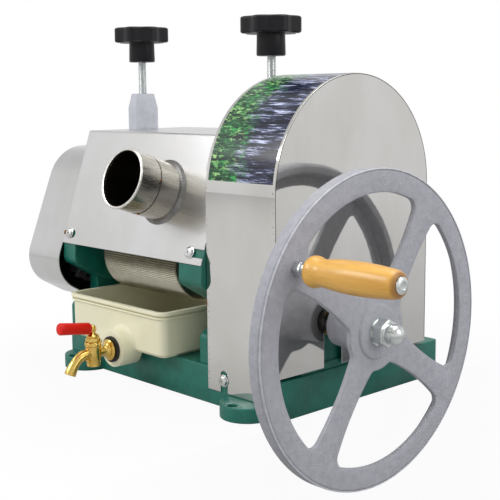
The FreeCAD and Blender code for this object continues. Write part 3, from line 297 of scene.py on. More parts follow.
def printed_label(name):
    """A glossy printed label: soft streaks along X, greens at one side and blues at the other."""
    material, tree, shader = blank(name)
    streak = noise_in(tree, stretched_point(tree, (0.07, 1, 1.0)), 520.0, 3.0, 0.75)
    bands = noise_in(tree, stretched_point(tree, (0.12, 1, 1)), 150.0, 2.0, 0.5)
    blades = noise_in(tree, stretched_point(tree, (0.3, 1, 0.8)), 330.0, 3.0, 0.7)
    mottle = noise_in(tree, object_point(tree), 60.0, 4.0, 0.7)
    across = math_node(tree, "ADD", spread(tree, axis_of(tree, object_point(tree), "X"), 0.10, 0.21),
                       math_node(tree, "MULTIPLY", mottle, 0.9))
    side = spread(tree, across, 0.78, 1.02)
    level = math_node(tree, "ADD", streak, math_node(tree, "MULTIPLY", bands, 0.6))
    body = spread(tree, level, 0.74, 0.92)
    shade = mix_colours(tree, body, (0.004, 0.005, 0.014), (0.06, 0.07, 0.15))
    blues = mix_colours(tree, spread(tree, level, 0.87, 0.99), shade, (0.6, 0.65, 0.85))
    leaf = mix_colours(tree, spread(tree, mottle, 0.42, 0.62), (0.05, 0.4, 0.09), (0.5, 0.78, 0.3))
    ground = mix_colours(tree, body, (0.006, 0.03, 0.018), (0.03, 0.13, 0.05))
    greens = mix_colours(tree, spread(tree, blades, 0.52, 0.62), ground, leaf)
    dress(tree, shader, Base_Color=mix_colours(tree, side, greens, blues), Roughness=0.2)
    return material


def tube_metal(name, top, middle, bottom, rough):
    """Satin tube drawn along its leaning axis, warm tinted, with painted light across it: a painted highlight
    over its upper side, a dark band of painted shade and reflection below its middle, and a darker lower
    side.
    """
    material, tree, shader = blank(name)
    here = object_point(tree)
    outward, upward = [vector_math(tree, "DOT_PRODUCT", here, way) for way in (PANEL_OUT, PANEL_UP)]
    point = tree.nodes.new("ShaderNodeCombineXYZ")
    tree.links.new(axis_of(tree, here, "X"), point.inputs["X"])
    tree.links.new(upward, point.inputs["Y"])
    tree.links.new(math_node(tree, "MULTIPLY", outward, 0.03), point.inputs["Z"])
    marks = noise_in(tree, point.outputs[0], 700.0, 2.0, 0.5)
    broad = spread(tree, noise_in(tree, point.outputs[0], 90.0, 2.0, 0.5), 0.35, 0.65)
    # Painted light across the tube: the top colour is a painted highlight above the axis, the middle colour a
    # dark band of painted shade and reflection just below it, and the bottom colour the lower side
    middle_up = (PANEL_FOOT * MM).dot(PANEL_UP) + TUBE_UP * MM
    upper = spread(tree, upward, middle_up + 0.002, middle_up + 0.009)
    lower = spread(tree, upward, middle_up - 0.03, middle_up - 0.006)
    ground = mix_colours(tree, upper, mix_colours(tree, lower, bottom, middle), top)
    dress(tree, shader, Metallic=1, Roughness=spread(tree, marks, 0.3, 0.7, rough, rough + 0.1),
          Base_Color=mix_colours(tree, math_node(tree, "MULTIPLY", broad, 0.35), ground, middle))
    raise_bump(tree, shader, marks, 0.0001, 0.2)
    return material


GREEN = enamel("green_enamel", (0.005, 0.15, 0.108), (0.003, 0.12, 0.086))
WHEEL_PAINT = enamel("wheel_paint", (0.41, 0.413, 0.455), (0.365, 0.368, 0.41), 0.38, 560.0, 0.0018)
# A paler paint for the ring round the wheel's face: a painted highlight along its edge, not wear
WHEEL_EDGE_HIGHLIGHT = enamel("painted_wheel_edge_highlight", (0.62, 0.63, 0.68), (0.52, 0.53, 0.57), 0.3, 560.0, 0.0004)
ALLOY = enamel("cast_alloy", (0.5, 0.52, 0.57), (0.44, 0.455, 0.5), 0.38, 500.0, 0.0005)
HOOD_SHEET = sheet_steel("hood_sheet", (0.72, 0.718, 0.715), 0.22, (0.015, 1, 1), 0.03)
LEFT_SHEET = sheet_steel("left_sheet", (0.68, 0.68, 0.675), 0.14, (1, 0.02, 0.02), 0.1)
COVER_SHEET = sheet_steel("cover_sheet", (0.76, 0.752, 0.73), 0.03, (0.02, 1, 1), 0.1)
INNER_SHEET = sheet_steel("inner_sheet", (0.66, 0.66, 0.65), 0.25, (0.015, 1, 1))
# Tube colours: a painted highlight on top, a dark band of painted shade, and a lower side that is partly
# painted shade and partly warm tint
TUBE_STEEL = tube_metal("tube_steel", (0.84, 0.8, 0.7), (0.3, 0.285, 0.26), (0.5, 0.46, 0.39), 0.2)
# The inside of the feed tube is near black: painted shade, not the steel's own colour
TUBE_SHADED_INSIDE = tube_metal("tube_inside", (0.1, 0.08, 0.05), (0.07, 0.06, 0.05), (0.09, 0.08, 0.07), 0.3)
TUBE_LIP = metal("tube_lip", (0.82, 0.8, 0.74), 0.2)
TURNED = metal("turned_steel", (0.56, 0.55, 0.53), 0.22, (1, 0.03, 0.03))
CHROME = metal("zinc_chrome", (0.72, 0.75, 0.75), 0.16, (1, 1, 0.2))
BRIGHT = metal("bright_zinc", (0.76, 0.8, 0.78), 0.16, stain=(0.62, 0.66, 0.64))
GEAR_STEEL = metal("gear_steel", (0.36, 0.36, 0.36), 0.32, (0.1, 1, 1), stain=(0.16, 0.13, 0.1))
OILED = metal("oiled_steel", (0.12, 0.115, 0.11), 0.28, (1, 0.03, 0.03))
BRONZE = metal("bush_bronze", (0.6, 0.4, 0.18), 0.25)
IRON = metal("block_iron", (0.2, 0.2, 0.2), 0.4)
ROLLER = metal("roller_steel", (0.46, 0.44, 0.36), 0.3, (0.03, 1, 1), 700.0, 0.0, (0.4, 0.375, 0.29))
BRASS = metal("tap_brass", (0.83, 0.58, 0.16), 0.14, edge=0.0008, stain=(0.66, 0.42, 0.1))
SCREW_ZINC = metal("screw_zinc", (0.78, 0.79, 0.78), 0.16, (1, 1, 0.2), stain=(0.6, 0.6, 0.58))
TACK = metal("heat_brown", (0.3, 0.17, 0.06), 0.45, stain=(0.08, 0.06, 0.05))
WELD = metal("weld_bead", (0.25, 0.245, 0.235), 0.35, stain=(0.17, 0.165, 0.155))
SEAM_DARK = metal("seam_shadow", (0.11, 0.095, 0.08), 0.4)
LABEL = printed_label("cover_print")
KNOB = plastic("black_moulding", (0.01, 0.01, 0.012), 0.3, gloss=0.22)
CREAM = plastic("cream_tray", (0.86, 0.835, 0.61), 0.28, 0.96, 0.12)
RUBBER = plastic("black_rubber", (0.016, 0.016, 0.015), 0.6)
RED = plastic("red_sleeve", (0.72, 0.012, 0.004), 0.34, 0.92, gloss=0.25)
WOOD = lacquered_wood("grip_wood")

FINISH = {
    GREEN: ("base_casting", "left_side_frame", "right_side_frame", "crank_pedestal"),
    WHEEL_PAINT: ("handwheel",),
    ALLOY: ("left_screw_tower", "right_screw_tower"),
    HOOD_SHEET: ("feed_hood",),
    LEFT_SHEET: ("left_gear_cover",),
    COVER_SHEET: ("right_gear_cover",),
    INNER_SHEET: ("turner_plate", "bagasse_chute"),
    TUBE_STEEL: ("feed_tube",),
    TURNED: ("tie_rods", "top_roller_shaft", "front_roller_shaft", "rear_roller_shaft"),
    CHROME: ("left_pressure_screw", "right_pressure_screw", "hood_screws", "cover_screws", "tower_bolts",
             "frame_bolts", "pedestal_bolts", "pin_nut", "crank_pin"),
    BRIGHT: ("dome_nut",),
    GEAR_STEEL: ("top_roller_gear", "front_roller_gear", "rear_roller_gear", "drive_gear", "crank_pinion"),
    OILED: ("crank_shaft",),
    BRONZE: ("front_left_bush", "front_right_bush", "rear_left_bush", "rear_right_bush", "top_left_bush",
             "top_right_bush", "crank_inner_bush", "crank_outer_bush"),
    IRON: ("left_bearing_block", "right_bearing_block"),
    ROLLER: ("top_roller", "front_roller", "rear_roller"),
    BRASS: ("tap_body", "tap_plug", "tap_backnut"),
    KNOB: ("left_star_knob", "right_star_knob"),
    CREAM: ("juice_tray",),
    RUBBER: ("tap_seal",),
    RED: ("tap_lever_sleeve",),
    WOOD: ("crank_grip",),
}
for finish, names in FINISH.items():
    for name in names:
        for slot in nodes[name].material_slots:
            slot.material = finish


# Mesh makers; lengths in these are in millimetres until a piece is placed


def in_scene(name, data):
    """A new object of the scene."""
    made = bpy.data.objects.new(name, data)
    bpy.context.scene.collection.objects.link(made)
    return made


def mesh_of(name, shapes):
    """One mesh from several (points, faces) shapes."""
    points, faces = [], []
    for shape_points, shape_faces in shapes:
        start = len(points)
        points += [tuple(point) for point in shape_points]
        faces += [tuple(start + i for i in face) for face in shape_faces]
    mesh = bpy.data.meshes.new(name)
    mesh.from_pydata(points, [], faces)
    mesh.validate()
    work = bmesh.new()
    work.from_mesh(mesh)
    bmesh.ops.recalc_face_normals(work, faces=work.faces)
    work.to_mesh(mesh)
    work.free()
    return mesh


def piece(name, shape, finish, body, stands_for=(), sharp=32):
    """Finish a mesh, or a list of shapes, in millimetres and let it ride on its body."""
    mesh = mesh_of(name, shape) if isinstance(shape, list) else shape
    mesh.transform(Matrix.Scale(MM, 4))
    mesh.materials.clear()
    mesh.materials.append(finish)
    mesh.polygons.foreach_set("use_smooth", [True] * len(mesh.polygons))
    mesh.set_sharp_from_angle(angle=math.radians(sharp))
    made = in_scene(name, mesh)
    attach(made, body)
    if stands_for:
        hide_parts(*stands_for)


def facing(at, way):
    """The matrix that stands a piece made along Z at a spot, facing one way."""
    turn = Vector(way).to_track_quat("Z", "Y").to_matrix().to_4x4()
    return Matrix.Translation(Vector(at)) @ turn


def placed(shape, matrix):
    points, faces = shape
    return [matrix @ Vector(point) for point in points], faces


def turns(count):
    """The angles of a full turn in equal steps."""
    return [2 * math.pi * i / count for i in range(count)]


def rows_shape(rows, closed=False):
    """A skin over rows of points; each row is a closed ring, and single points close the ends."""
    points, faces, starts = [], [], []
    for row in rows:
        starts.append((len(points), len(row)))
        points += row
    pairs = list(zip(starts, starts[1:]))
    if closed:
        pairs.append((starts[-1], starts[0]))
    for (first, count), (second, after) in pairs:
        for i in range(max(count, after)):
            j = (i + 1) % max(count, after)
            if count == 1:
                faces.append((first, second + i, second + j))
            elif after == 1:
                faces.append((first + i, first + j, second))
            else:
                faces.append((first + i, first + j, second + j, second + i))
    return points, faces


def lathe(profile, steps=64, closed=False, reach=None):
    """Turn (height, radius) pairs about Z; reach may bend the radius by its angle."""
    rows = []
    for height, radius in profile:
        if radius == 0:
            rows.append([(0, 0, height)])
            continue
        row = []
        for angle in turns(steps):
            out = reach(radius, angle, height) if reach else radius
            row.append((out * math.cos(angle), out * math.sin(angle), height))
        rows.append(row)
    return rows_shape(rows, closed)


def hexagon(least, high, full, turned, low=0.9, seat=(-99, 99)):
    """A reach that makes six flats of the radii above the least, between the seat's two levels.

    The corners are turned off to the full radius between low and high, and to a smaller one beyond.
    """
    def reach(radius, angle, height):
        if radius < least or not seat[0] < height < seat[1]:
            return radius
        turn = angle % (math.pi / 3) - math.pi / 6
        return min(radius / math.cos(turn), full if low < height < high else turned)
    return reach


def swept(path, radii, steps=28, oval=1.0):
    """A bar along points in one plane, with a radius at each; oval stretches it across the plane."""
    rows = []
    for i, point in enumerate(path):
        before = Vector(path[max(i - 1, 0)])
        after = Vector(path[min(i + 1, len(path) - 1)])
        along = (after - before).normalized()
        side = Vector((1, 0, 0)) if abs(along.x) < 0.9 else Vector((0, 1, 0))
        over = along.cross(side).normalized()
        side = over.cross(along)
        wide, tall = side * radii[i], over * radii[i] * oval
        rows.append([Vector(point) + wide * math.cos(angle) + tall * math.sin(angle)
                     for angle in turns(steps)])
    return rows_shape([[path[0]]] + rows + [[path[-1]]])


def bezier(points, count):
    """Points along a cubic curve."""
    first, second, third, fourth = (Vector(point) for point in points)
    line = []
    for i in range(count):
        t = i / (count - 1)
        line.append(first * (1 - t) ** 3 + second * 3 * t * (1 - t) ** 2 + third * 3 * t * t * (1 - t)
                    + fourth * t ** 3)
    return line


def mm_box(node):
    low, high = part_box(node)
    return low / MM, high / MM


def softened(node, width, finish, body, name, sharp=38, segments=3):
    """A node's own shape with its edges rounded, in place of the node."""
    work = bmesh.new()
    work.from_mesh(nodes[node].data)
    bmesh.ops.remove_doubles(work, verts=work.verts, dist=1e-6)
    bmesh.ops.dissolve_limit(work, angle_limit=math.radians(0.5), verts=work.verts, edges=work.edges)
    mesh = bpy.data.meshes.new(name)
    work.to_mesh(mesh)
    work.free()
    mesh.transform(Matrix.Scale(1 / MM, 4))
    draft = in_scene(name + "_draft", mesh)
    edge = draft.modifiers.new("edges", "BEVEL")
    edge.width = width
    edge.segments = segments
    edge.limit_method = "ANGLE"
    edge.angle_limit = math.radians(sharp)
    edge.use_clamp_overlap = True
    edge.harden_normals = False
    finished = bpy.data.meshes.new_from_object(draft.evaluated_get(bpy.context.evaluated_depsgraph_get()))
    bpy.data.objects.remove(draft)
    piece(name, finished, finish, body, (node,))


# Star knobs on threaded pressure screws

SCREW_ROUND = 6
THREAD_CORE = 5.1
LOBES = 7
STAR_TALL = 22
STAR_TIP = 40
STAR_HOLLOW = 34.5
STAR_LINE = [(0, 0.0), (0.0, 0.80), (0.5, 0.955), (2.2, 1.0), (19.6, 1.0), (21.3, 0.965), (22, 0.9),
             (22, 0.62), (21.7, 0.45), (20.6, 0.42), (20.6, 0.2), (20.6, 0.0)]
KNOB_HUB_LINE = [(0, 0), (0, 17.4), (0.6, 18.5), (1.8, 19), (27, 18.4), (28.6, 19.6), (28.6, 0)]


def star_knob(side, body, turn):
    """A moulded knob: seven soft lobes on a short hub, with a shallow dish on top."""
    low, high = mm_box(side + "_star_knob")
    screw_low, screw_high = mm_box(side + "_pressure_screw")
    x, y = (low.x + high.x) / 2, (screw_low.y + screw_high.y) / 2

    def lobed(share, angle, height):
        wave = 0.5 + 0.5 * math.cos(LOBES * (angle - math.radians(turn)))
        blend = min(max((share - 0.45) / 0.4, 0), 1)
        return share * (STAR_TIP * (1 - blend) + (STAR_HOLLOW + (STAR_TIP - STAR_HOLLOW) * wave) * blend)

    star = placed(lathe(STAR_LINE, LOBES * 18, reach=lobed), Matrix.Translation((x, y, high.z - STAR_TALL)))
    hub = placed(lathe(KNOB_HUB_LINE, 56), Matrix.Translation((x, y, low.z)))
    piece(side + "_knob", [star, hub], KNOB, body, (side + "_star_knob",))


def thread_shape(low, high, radius, pitch=2.0, steps=26):
    """A screw thread about Z, one strip that climbs round and round."""
    count = int((high - low) / pitch * steps)
    profile = [(0.0, radius - 1.0), (0.3, radius - 0.05), (0.52, radius), (0.82, radius - 0.9)]
    points, faces = [], []
    for i in range(count + 1):
        angle = 2 * math.pi * i / steps
        base = low + pitch * i / steps
        for rise, out in profile:
            points.append((out * math.cos(angle), out * math.sin(angle), min(base + rise * pitch, high)))
    width = len(profile)
    for i in range(count):
        for k in range(width - 1):
            here, there = i * width + k, (i + 1) * width + k
            faces.append((here, there, there + 1, here + 1))
        if i + steps < count:
            here, over = i * width + width - 1, (i + steps) * width
            faces.append((here, here + width, over + width, over))
    return points, faces


def pressure_screw(side, body):
    """A screw with a smooth nose, a thread between tower and knob, and a smooth end in the knob."""
    low, high = mm_box(side + "_pressure_screw")
    x, y = (low.x + high.x) / 2, (low.y + high.y) / 2
    show_low = mm_box(side + "_screw_tower")[1].z - 8
    knob_low = mm_box(side + "_star_knob")[0].z
    rod = lathe([(low.z, 0), (low.z, 6.6), (low.z + 0.6, 7.2), (low.z + 4.4, 7.2), (low.z + 5, 6.6),
                 (low.z + 5, SCREW_ROUND), (show_low, SCREW_ROUND), (show_low, THREAD_CORE),
                 (knob_low + 1, THREAD_CORE), (knob_low + 1, SCREW_ROUND), (high.z, SCREW_ROUND),
                 (high.z, 0)], 40)
    thread = thread_shape(show_low, knob_low + 1.5, SCREW_ROUND)
    piece(side + "_threaded_screw", [placed(shape, Matrix.Translation((x, y, 0))) for shape in (rod, thread)],
          CHROME, body, (side + "_pressure_screw",))


for side, body, turn in (("left", "left_screw", -11.6), ("right", "right_screw", -18.8)):
    star_knob(side, body, turn)
    pressure_screw(side, body)


# Cross recess screws with washers on the hood and on the cover

HEAD_LINE = [(-1.2, 0), (-1.2, 3), (0, 3), (0, 7.3), (0.25, 7.8), (0.9, 7.8), (1.1, 7.4), (1.1, 6.6),
             (2.3, 6.7), (3.3, 6.2), (4.1, 5.0), (4.5, 3.2), (4.7, 0)]
SOLID_HEAD_ROUND = 6.9


def screw_head_shape():
    """A pan head with its cross recess, cut with two tapered blades."""
    blade = [(x * half, y * long, z) for half, long, z in ((0.7, 3.3, 4.9), (0.35, 1.7, 2.4))
             for x, y in ((-1, -1), (1, -1), (1, 1), (-1, 1))]
    walls = [(0, 1, 2, 3), (7, 6, 5, 4), (0, 4, 5, 1), (1, 5, 6, 2), (2, 6, 7, 3), (3, 7, 4, 0)]
    body = in_scene("head_draft", mesh_of("head_draft", [lathe(HEAD_LINE, 44)]))
    cutters = []
    for turn in (0, math.pi / 2):
        turned = placed((blade, walls), Matrix.Rotation(turn, 4, "Z"))
        cutters.append(in_scene("blade", mesh_of("blade", [turned])))
        recess = body.modifiers.new("recess", "BOOLEAN")
        recess.operation = "DIFFERENCE"
        recess.solver = "EXACT"
        recess.object = cutters[-1]
    mesh = bpy.data.meshes.new_from_object(body.evaluated_get(bpy.context.evaluated_depsgraph_get()))
    shape = [tuple(v.co) for v in mesh.vertices], [tuple(p.vertices) for p in mesh.polygons]
    for thing in [body] + cutters:
        bpy.data.objects.remove(thing)
    return shape


SCREW_HEAD = screw_head_shape()
cover_low, cover_high = mm_box("right_gear_cover")


def panel_spot(x, up):
    """A spot on the hood's leaning panel."""
    return Vector((x, 0, 0)) + PANEL_FOOT + PANEL_UP * up


def pan_screws(name, node, stand, left_turn, right_turn):
    """A node's two screws; stand gives the matrix at an X and at the node's middle height."""
    low, high = mm_box(node)
    spots = [stand(x, (low.z + high.z) / 2) @ Matrix.Rotation(turn, 4, "Z")
             for x, turn in ((low.x + SOLID_HEAD_ROUND, left_turn), (high.x - SOLID_HEAD_ROUND, right_turn))]
    piece(name, [placed(SCREW_HEAD, spot) for spot in spots], SCREW_ZINC, "frame", (node,))


pan_screws("hood_pan_screws", "hood_screws", lambda x, z: facing(panel_spot(x, SCREW_UP), PANEL_OUT),
           0.3, 0.75)
pan_screws("cover_pan_screws", "cover_screws", lambda x, z: facing((x, cover_low.y, z), (0, -1, 0)),
           0.2, 1.0)

# Feed tube: rolled lip, lap seam with tack welds, and the weld at the panel

TUBE_LONG = 70
TUBE_ROUND = 38
LIP_ROUND = 1.6
tube_low, tube_high = mm_box("feed_tube")
TUBE_FRAME = facing(panel_spot((tube_low.x + tube_high.x) / 2, TUBE_UP), PANEL_OUT)
tube_line = [(-4, 37.2), (-4, TUBE_ROUND), (66.6, TUBE_ROUND), (66.6, 37.2)]
inside_line = [(-4, 36.4), (-4, 37.3), (67, 37.3), (67, 36.4)]
seam_line = [(35.7, 37.9), (35.7, 38.35), (36.8, 38.35), (36.8, 37.9)]
lip_line = [(TUBE_LONG - LIP_ROUND + LIP_ROUND * math.sin(math.radians(a)),
             TUBE_ROUND + LIP_ROUND * math.cos(math.radians(a))) for a in range(-70, 120, 19)]
lip_line += [(69.4, 36.4), (66.4, 36.2), (66.2, TUBE_ROUND)]
# The tube's inside skin carries the near black painted shade
for name, line, finish, stands_for in (("feed_tube_shell", tube_line, TUBE_STEEL, ("feed_tube",)),
                                       ("feed_tube_inside", inside_line, TUBE_SHADED_INSIDE, ()),
                                       ("tube_seam", seam_line, SEAM_DARK, ()),
                                       ("tube_rolled_lip", lip_line, TUBE_LIP, ())):
    piece(name, [placed(lathe(line, 120, closed=True), TUBE_FRAME)], finish, "frame", stands_for,
          sharp=30)
weld_line = [(-0.3, 43.6), (0.2, 43.4), (0.7, 41.7), (1.7, 40.2), (3.0, 39.1), (4.6, 38.4), (6.0, 38.1),
             (6.0, 37.8), (-0.3, 37.8)]


def ripple(radius, angle, height):
    """The small scallops of a weld bead, but not where it meets the tube."""
    return radius + 0.18 * math.sin(angle * 61) * (radius > 38.2)


piece("tube_weld", [placed(lathe(weld_line, 240, closed=True, reach=ripple), TUBE_FRAME)],
      WELD, "frame", (), sharp=60)


def tack(angle, long=3.4, wide=2.2):
    """A small blob of weld lying across the tube's lap seam."""
    rows = [[(0, 0, 1.5)]]
    for share, rise in ((0.4, 1.3), (0.75, 0.8), (1.0, 0.0), (1.0, -0.6)):
        rows.append([(share * long * math.cos(a), share * wide * math.sin(a), rise) for a in turns(14)])
    out = Vector((math.cos(angle), math.sin(angle), 0))
    return placed(rows_shape(rows), TUBE_FRAME @ facing(out * 38.2 + Vector((0, 0, 36.9)), out))


piece("seam_tacks", [tack(math.radians(a)) for a in (92, 10, -78, 195)],
      TACK, "frame", (), sharp=60)

# Label, edge line and spot welds on the right cover

ARCH_Y = (cover_low.y + cover_high.y) / 2
ARCH_ROUND = (cover_high.y - cover_low.y) / 2
ARCH_HIGH = cover_high.z - ARCH_ROUND
LABEL_LOW = 279
LABEL_END = 128
SPOT_PITCH = 7.6
SPOTS_TOP = 272
EDGE_LINE_UP = 36


def over_arch(low_z, out, end_angle, count=60):
    """Points (y, z) up the cover's front and round its arch, held off its skin by out."""
    radius = ARCH_ROUND + out
    line = [(ARCH_Y - radius, low_z)] if low_z < ARCH_HIGH - 0.5 else []
    begin = 0 if line else math.asin((low_z - ARCH_HIGH) / radius)
    for i in range(count + 1):
        angle = begin + (math.radians(end_angle) - begin) * i / count
        line.append((ARCH_Y - radius * math.cos(angle), ARCH_HIGH + radius * math.sin(angle)))
    return line


def strip_shape(low_x, high_x, low_z, end_angle, thick):
    """A thin label that follows the arch."""
    outer = over_arch(low_z, thick, end_angle)
    inner = over_arch(low_z, -0.05, end_angle)
    rows = [[(x, y, z) for x, (y, z) in ((low_x, a), (high_x, a), (high_x, b), (low_x, b))]
            for a, b in zip(outer, inner)]
    points, faces = rows_shape(rows)
    last = len(points) - 4
    return points, faces + [(3, 2, 1, 0), (last, last + 1, last + 2, last + 3)]


piece("cover_label", [strip_shape(cover_low.x + 5, cover_high.x - 4, LABEL_LOW, LABEL_END, 0.15)],
      LABEL, "frame", ())


def spot_weld_shapes():
    """Small dark dots left by the spot welder near both edges of the cover's front."""
    dots = []
    for x in (cover_low.x + 2.6, cover_high.x - 3.0):
        z = cover_low.z + 14
        step = 0
        while z < SPOTS_TOP:
            step += 1
            size = 0.5 + 0.25 * ((step * 7) % 5) / 4
            skew = 0.5 * math.sin(step * 2.3)
            dot = lathe([(-0.1, size), (0.1, size * 0.8), (0.14, 0)], 10)
            if (step * 5) % 7 > 1:
                dots.append(placed(dot, facing((x + skew, cover_low.y, z), (0, -1, 0))))
            z += SPOT_PITCH
    return dots


piece("cover_spot_welds", spot_weld_shapes(), TACK, "frame", ())


def edge_line_shape():
    """The folded lip of the cover's face plate: a thin raised line round the face's edge."""
    front = over_arch(cover_low.z + EDGE_LINE_UP, -1.0, 180)
    path = [(cover_high.x - 0.1, y, z) for y, z in front]
    path.append((cover_high.x - 0.1, 2 * ARCH_Y - front[0][0], front[0][1]))
    return swept(path, [0.3] * len(path), 8, oval=1.5)


piece("face_edge_line", [edge_line_shape()], SEAM_DARK, "frame", ())

# Dome nut on the crank's end, with a round foot under its flats and a short neck under its dome

nut_low, nut_high = mm_box("dome_nut")
crank_y, crank_z = (nut_low.y + nut_high.y) / 2, (nut_low.z + nut_high.z) / 2
NUT_FRAME = facing((nut_low.x, crank_y, crank_z), (1, 0, 0))
nut_flats = [(0.8, 0), (0.8, 14.0), (1.4, 14.9), (14.4, 14.9), (15.4, 14.2), (15.8, 13.2), (15.8, 0)]
nut_dome = [(0, 0), (0, 16.6), (1.0, 16.6), (1.2, 14), (15, 14), (15.9, 12.6), (16.4, 12.1), (21.0, 12.1),
            (21.4, 11.8), (21.9, 11.9), (22.4, 12.4), (25.5, 12.1), (28.2, 11.0), (30.6, 9.1), (32.4, 6.5),
            (33.6, 3.4), (34, 0)]
nut_reach = hexagon(12.6, 14.6, 17.25, 15.6, low=1.2, seat=(0.9, 99))
piece("wheel_dome_nut", [
    placed(lathe(nut_flats, 96, reach=nut_reach), NUT_FRAME @ Matrix.Rotation(math.radians(30), 4, "Z")),
    placed(lathe(nut_dome, 72), NUT_FRAME)], BRIGHT, "crank", ("dome_nut",), sharp=25)

# Turned grip, its pin with the end cap, and the lock nut

GRIP_GAP = 6
grip_low, grip_high = mm_box("crank_grip")
grip_y, grip_z = (grip_low.y + grip_high.y) / 2, (grip_low.z + grip_high.z) / 2
GRIP_FRAME = facing((0, grip_y, grip_z), (1, 0, 0))
grip_left, grip_right = grip_low.x + GRIP_GAP, grip_high.x
grip_line = [(grip_left + x, radius) for x, radius in (
    (0, 5.1), (0, 12.6), (0.6, 13.9), (2, 15.5), (4.5, 16.9), (8, 17.3), (11.5, 16.8), (15, 15.6),
    (18.5, 14.8), (22, 14.9), (29, 15.7), (38, 16.8), (50, 17.6), (62, 17.9), (76, 17.8), (90, 17.2),
    (102, 16.2))]
grip_line += [(grip_right + x, radius) for x, radius in (
    (-9, 15.3), (-5, 14.6), (-2.4, 13.6), (-0.8, 12.2), (0, 10.4), (0, 9.3), (-1.2, 9.1), (-1.2, 5.1))]


def hand_worn(radius, angle, height):
    """Slightly out of round, as a turned and sanded grip is."""
    if radius < 9.2:
        return radius
    return radius - 0.12 - 0.12 * math.sin(2 * angle + height * 0.03)


piece("wooden_grip", [placed(lathe(grip_line, 88, closed=True, reach=hand_worn), GRIP_FRAME)],
      WOOD, "grip", ("crank_grip",), sharp=50)
pin_left = mm_box("crank_pin")[0].x
pin_line = [(pin_left, 0), (pin_left, 7.4), (pin_left + 1, 8.5), (pin_left + 7, 8.5), (pin_left + 7, 5)]
pin_line += [(grip_right + x, radius) for x, radius in (
    (-1.0, 5), (-1.0, 8.6), (0.8, 9.0), (1.6, 8.7), (2.4, 7.7), (2.9, 6.2), (3.0, 4.4), (2.0, 3.7), (1.6, 0))]
piece("grip_pin", [placed(lathe(pin_line, 56), GRIP_FRAME)], BRIGHT, "crank", ("crank_pin",), sharp=35)

nut_low, nut_high = mm_box("pin_nut")
nut_long = nut_high.x - nut_low.x
lock_nut = lathe([(0, 5), (0, 8.4), (1.0, 8.45), (nut_long - 3.6, 8.45), (nut_long - 2.6, 8.1),
                  (nut_long - 2.2, 7.4), (nut_long + 1.6, 7.4), (nut_long + 1.6, 5)], 72, closed=True,
                 reach=hexagon(8, nut_long - 3.4, 9.75, 8.7))
collar = lathe([(nut_long + 1.6, 5), (nut_long + 1.6, 10.6), (nut_long + 2.2, 11), (nut_long + 5.4, 11),
                (nut_long + 5.9, 10.5), (nut_long + 5.9, 5)], 56, closed=True)
nut_stand = facing((nut_low.x, grip_y, grip_z), (1, 0, 0))
piece("pin_lock_nut", [placed(lock_nut, nut_stand), placed(collar, nut_stand)],
      CHROME, "crank", ("pin_nut",), sharp=25)

# Brass tap: flanged body with a curved spout, and the turning stem with its red lever

TAP_X, TAP_Y, TAP_Z = -50, -227.5, 51
TAP_FRAME = Matrix.Translation((TAP_X, TAP_Y, TAP_Z))
LEVER_UP = 32.5
BALL_ROUND = 5.0
LEVER_TILT = math.radians(8)
LEVER_FRAME = facing((TAP_X, TAP_Y, TAP_Z + LEVER_UP), (0, -math.cos(LEVER_TILT), math.sin(LEVER_TILT)))


def tap_curve(offsets, count):
    """A cubic curve in the tap's upright plane, from four offsets (Y, Z) from the tap's middle."""
    return bezier([(TAP_X, TAP_Y + y, TAP_Z + z) for y, z in offsets], count)


def tap_body_shapes():
    """The barrel, the flanged neck behind it, the hollow ended spout and the ridge along its back."""
    barrel = lathe([(-17, 0), (-17, 8.0), (-16.4, 8.8), (-15, 9.0), (-14.6, 8.6), (-13.6, 8.9), (-6, 9.7),
                    (7, 10.1), (9, 9.9), (10, 10.9), (13.8, 10.9), (14.8, 10.3), (15, 9.6), (15, 0)], 56)
    neck = lathe([(6, 0), (6, 7.0), (12, 6.6), (17, 6.4), (19, 7.4), (20.5, 9.4), (21.2, 9.4), (21.8, 10.8),
                  (23.2, 13.6), (23.6, 14), (25.8, 14), (26.4, 13.6), (26.4, 6.9), (41, 6.9), (41, 0)], 56)
    path = tap_curve(((-4, 0), (-20, 0.6), (-29, -6), (-36.4, -22.0)), 22)
    end, along = path[-1], (path[-1] - path[-2]).normalized()
    radii = [7.4 - 1.2 * math.sin(math.pi * min(i / 20, 1)) for i in range(22)]
    for reach, radius in ((0.8, 7.4), (1.28, 7.0), (0.8, 5.2), (-10, 4.8)):
        path.append(end + along * reach)
        radii.append(radius)
    crest = tap_curve(((-10, 6.2), (-20, 6.4), (-28, 1.2), (-34, -10.0)), 16)
    ridge = swept(crest, [0.6 + 0.9 * math.sin(math.pi * i / 15) for i in range(16)], 12)
    return [placed(barrel, TAP_FRAME), placed(neck, facing((TAP_X, TAP_Y, TAP_Z), (0, 1, 0))),
            swept(path, radii, 36), ridge]


def tap_stem_shapes():
    """The plug with its hexagon, its ball top, and the arm inside the lever's sleeve."""
    plug = [(-13, 0), (-13, 5.4), (-12, 6.3), (14.5, 6.4), (15.2, 6.4), (15.4, 8.6), (16, 8.7), (19.5, 8.7),
            (20.1, 8.4), (20.4, 6.9), (21.2, 6.9), (21.6, 8.3), (23.4, 8.3), (24.2, 7.4), (25.4, 5.2),
            (26.8, 4.0), (28.0, 3.6)]
    ball = [(LEVER_UP + BALL_ROUND * math.sin(math.radians(a)), BALL_ROUND * math.cos(math.radians(a)))
            for a in range(-44, 90, 12)]
    stem = lathe(plug + ball + [(LEVER_UP + BALL_ROUND, 0)], 60,
                 reach=hexagon(8, 19.6, 9.9, 9.3, low=15.9, seat=(15.3, 20.2)))
    arm = lathe([(3, 0), (3, 2.4), (49, 2.4), (49, 0)], 24)
    return [placed(stem, TAP_FRAME), placed(arm, LEVER_FRAME)]


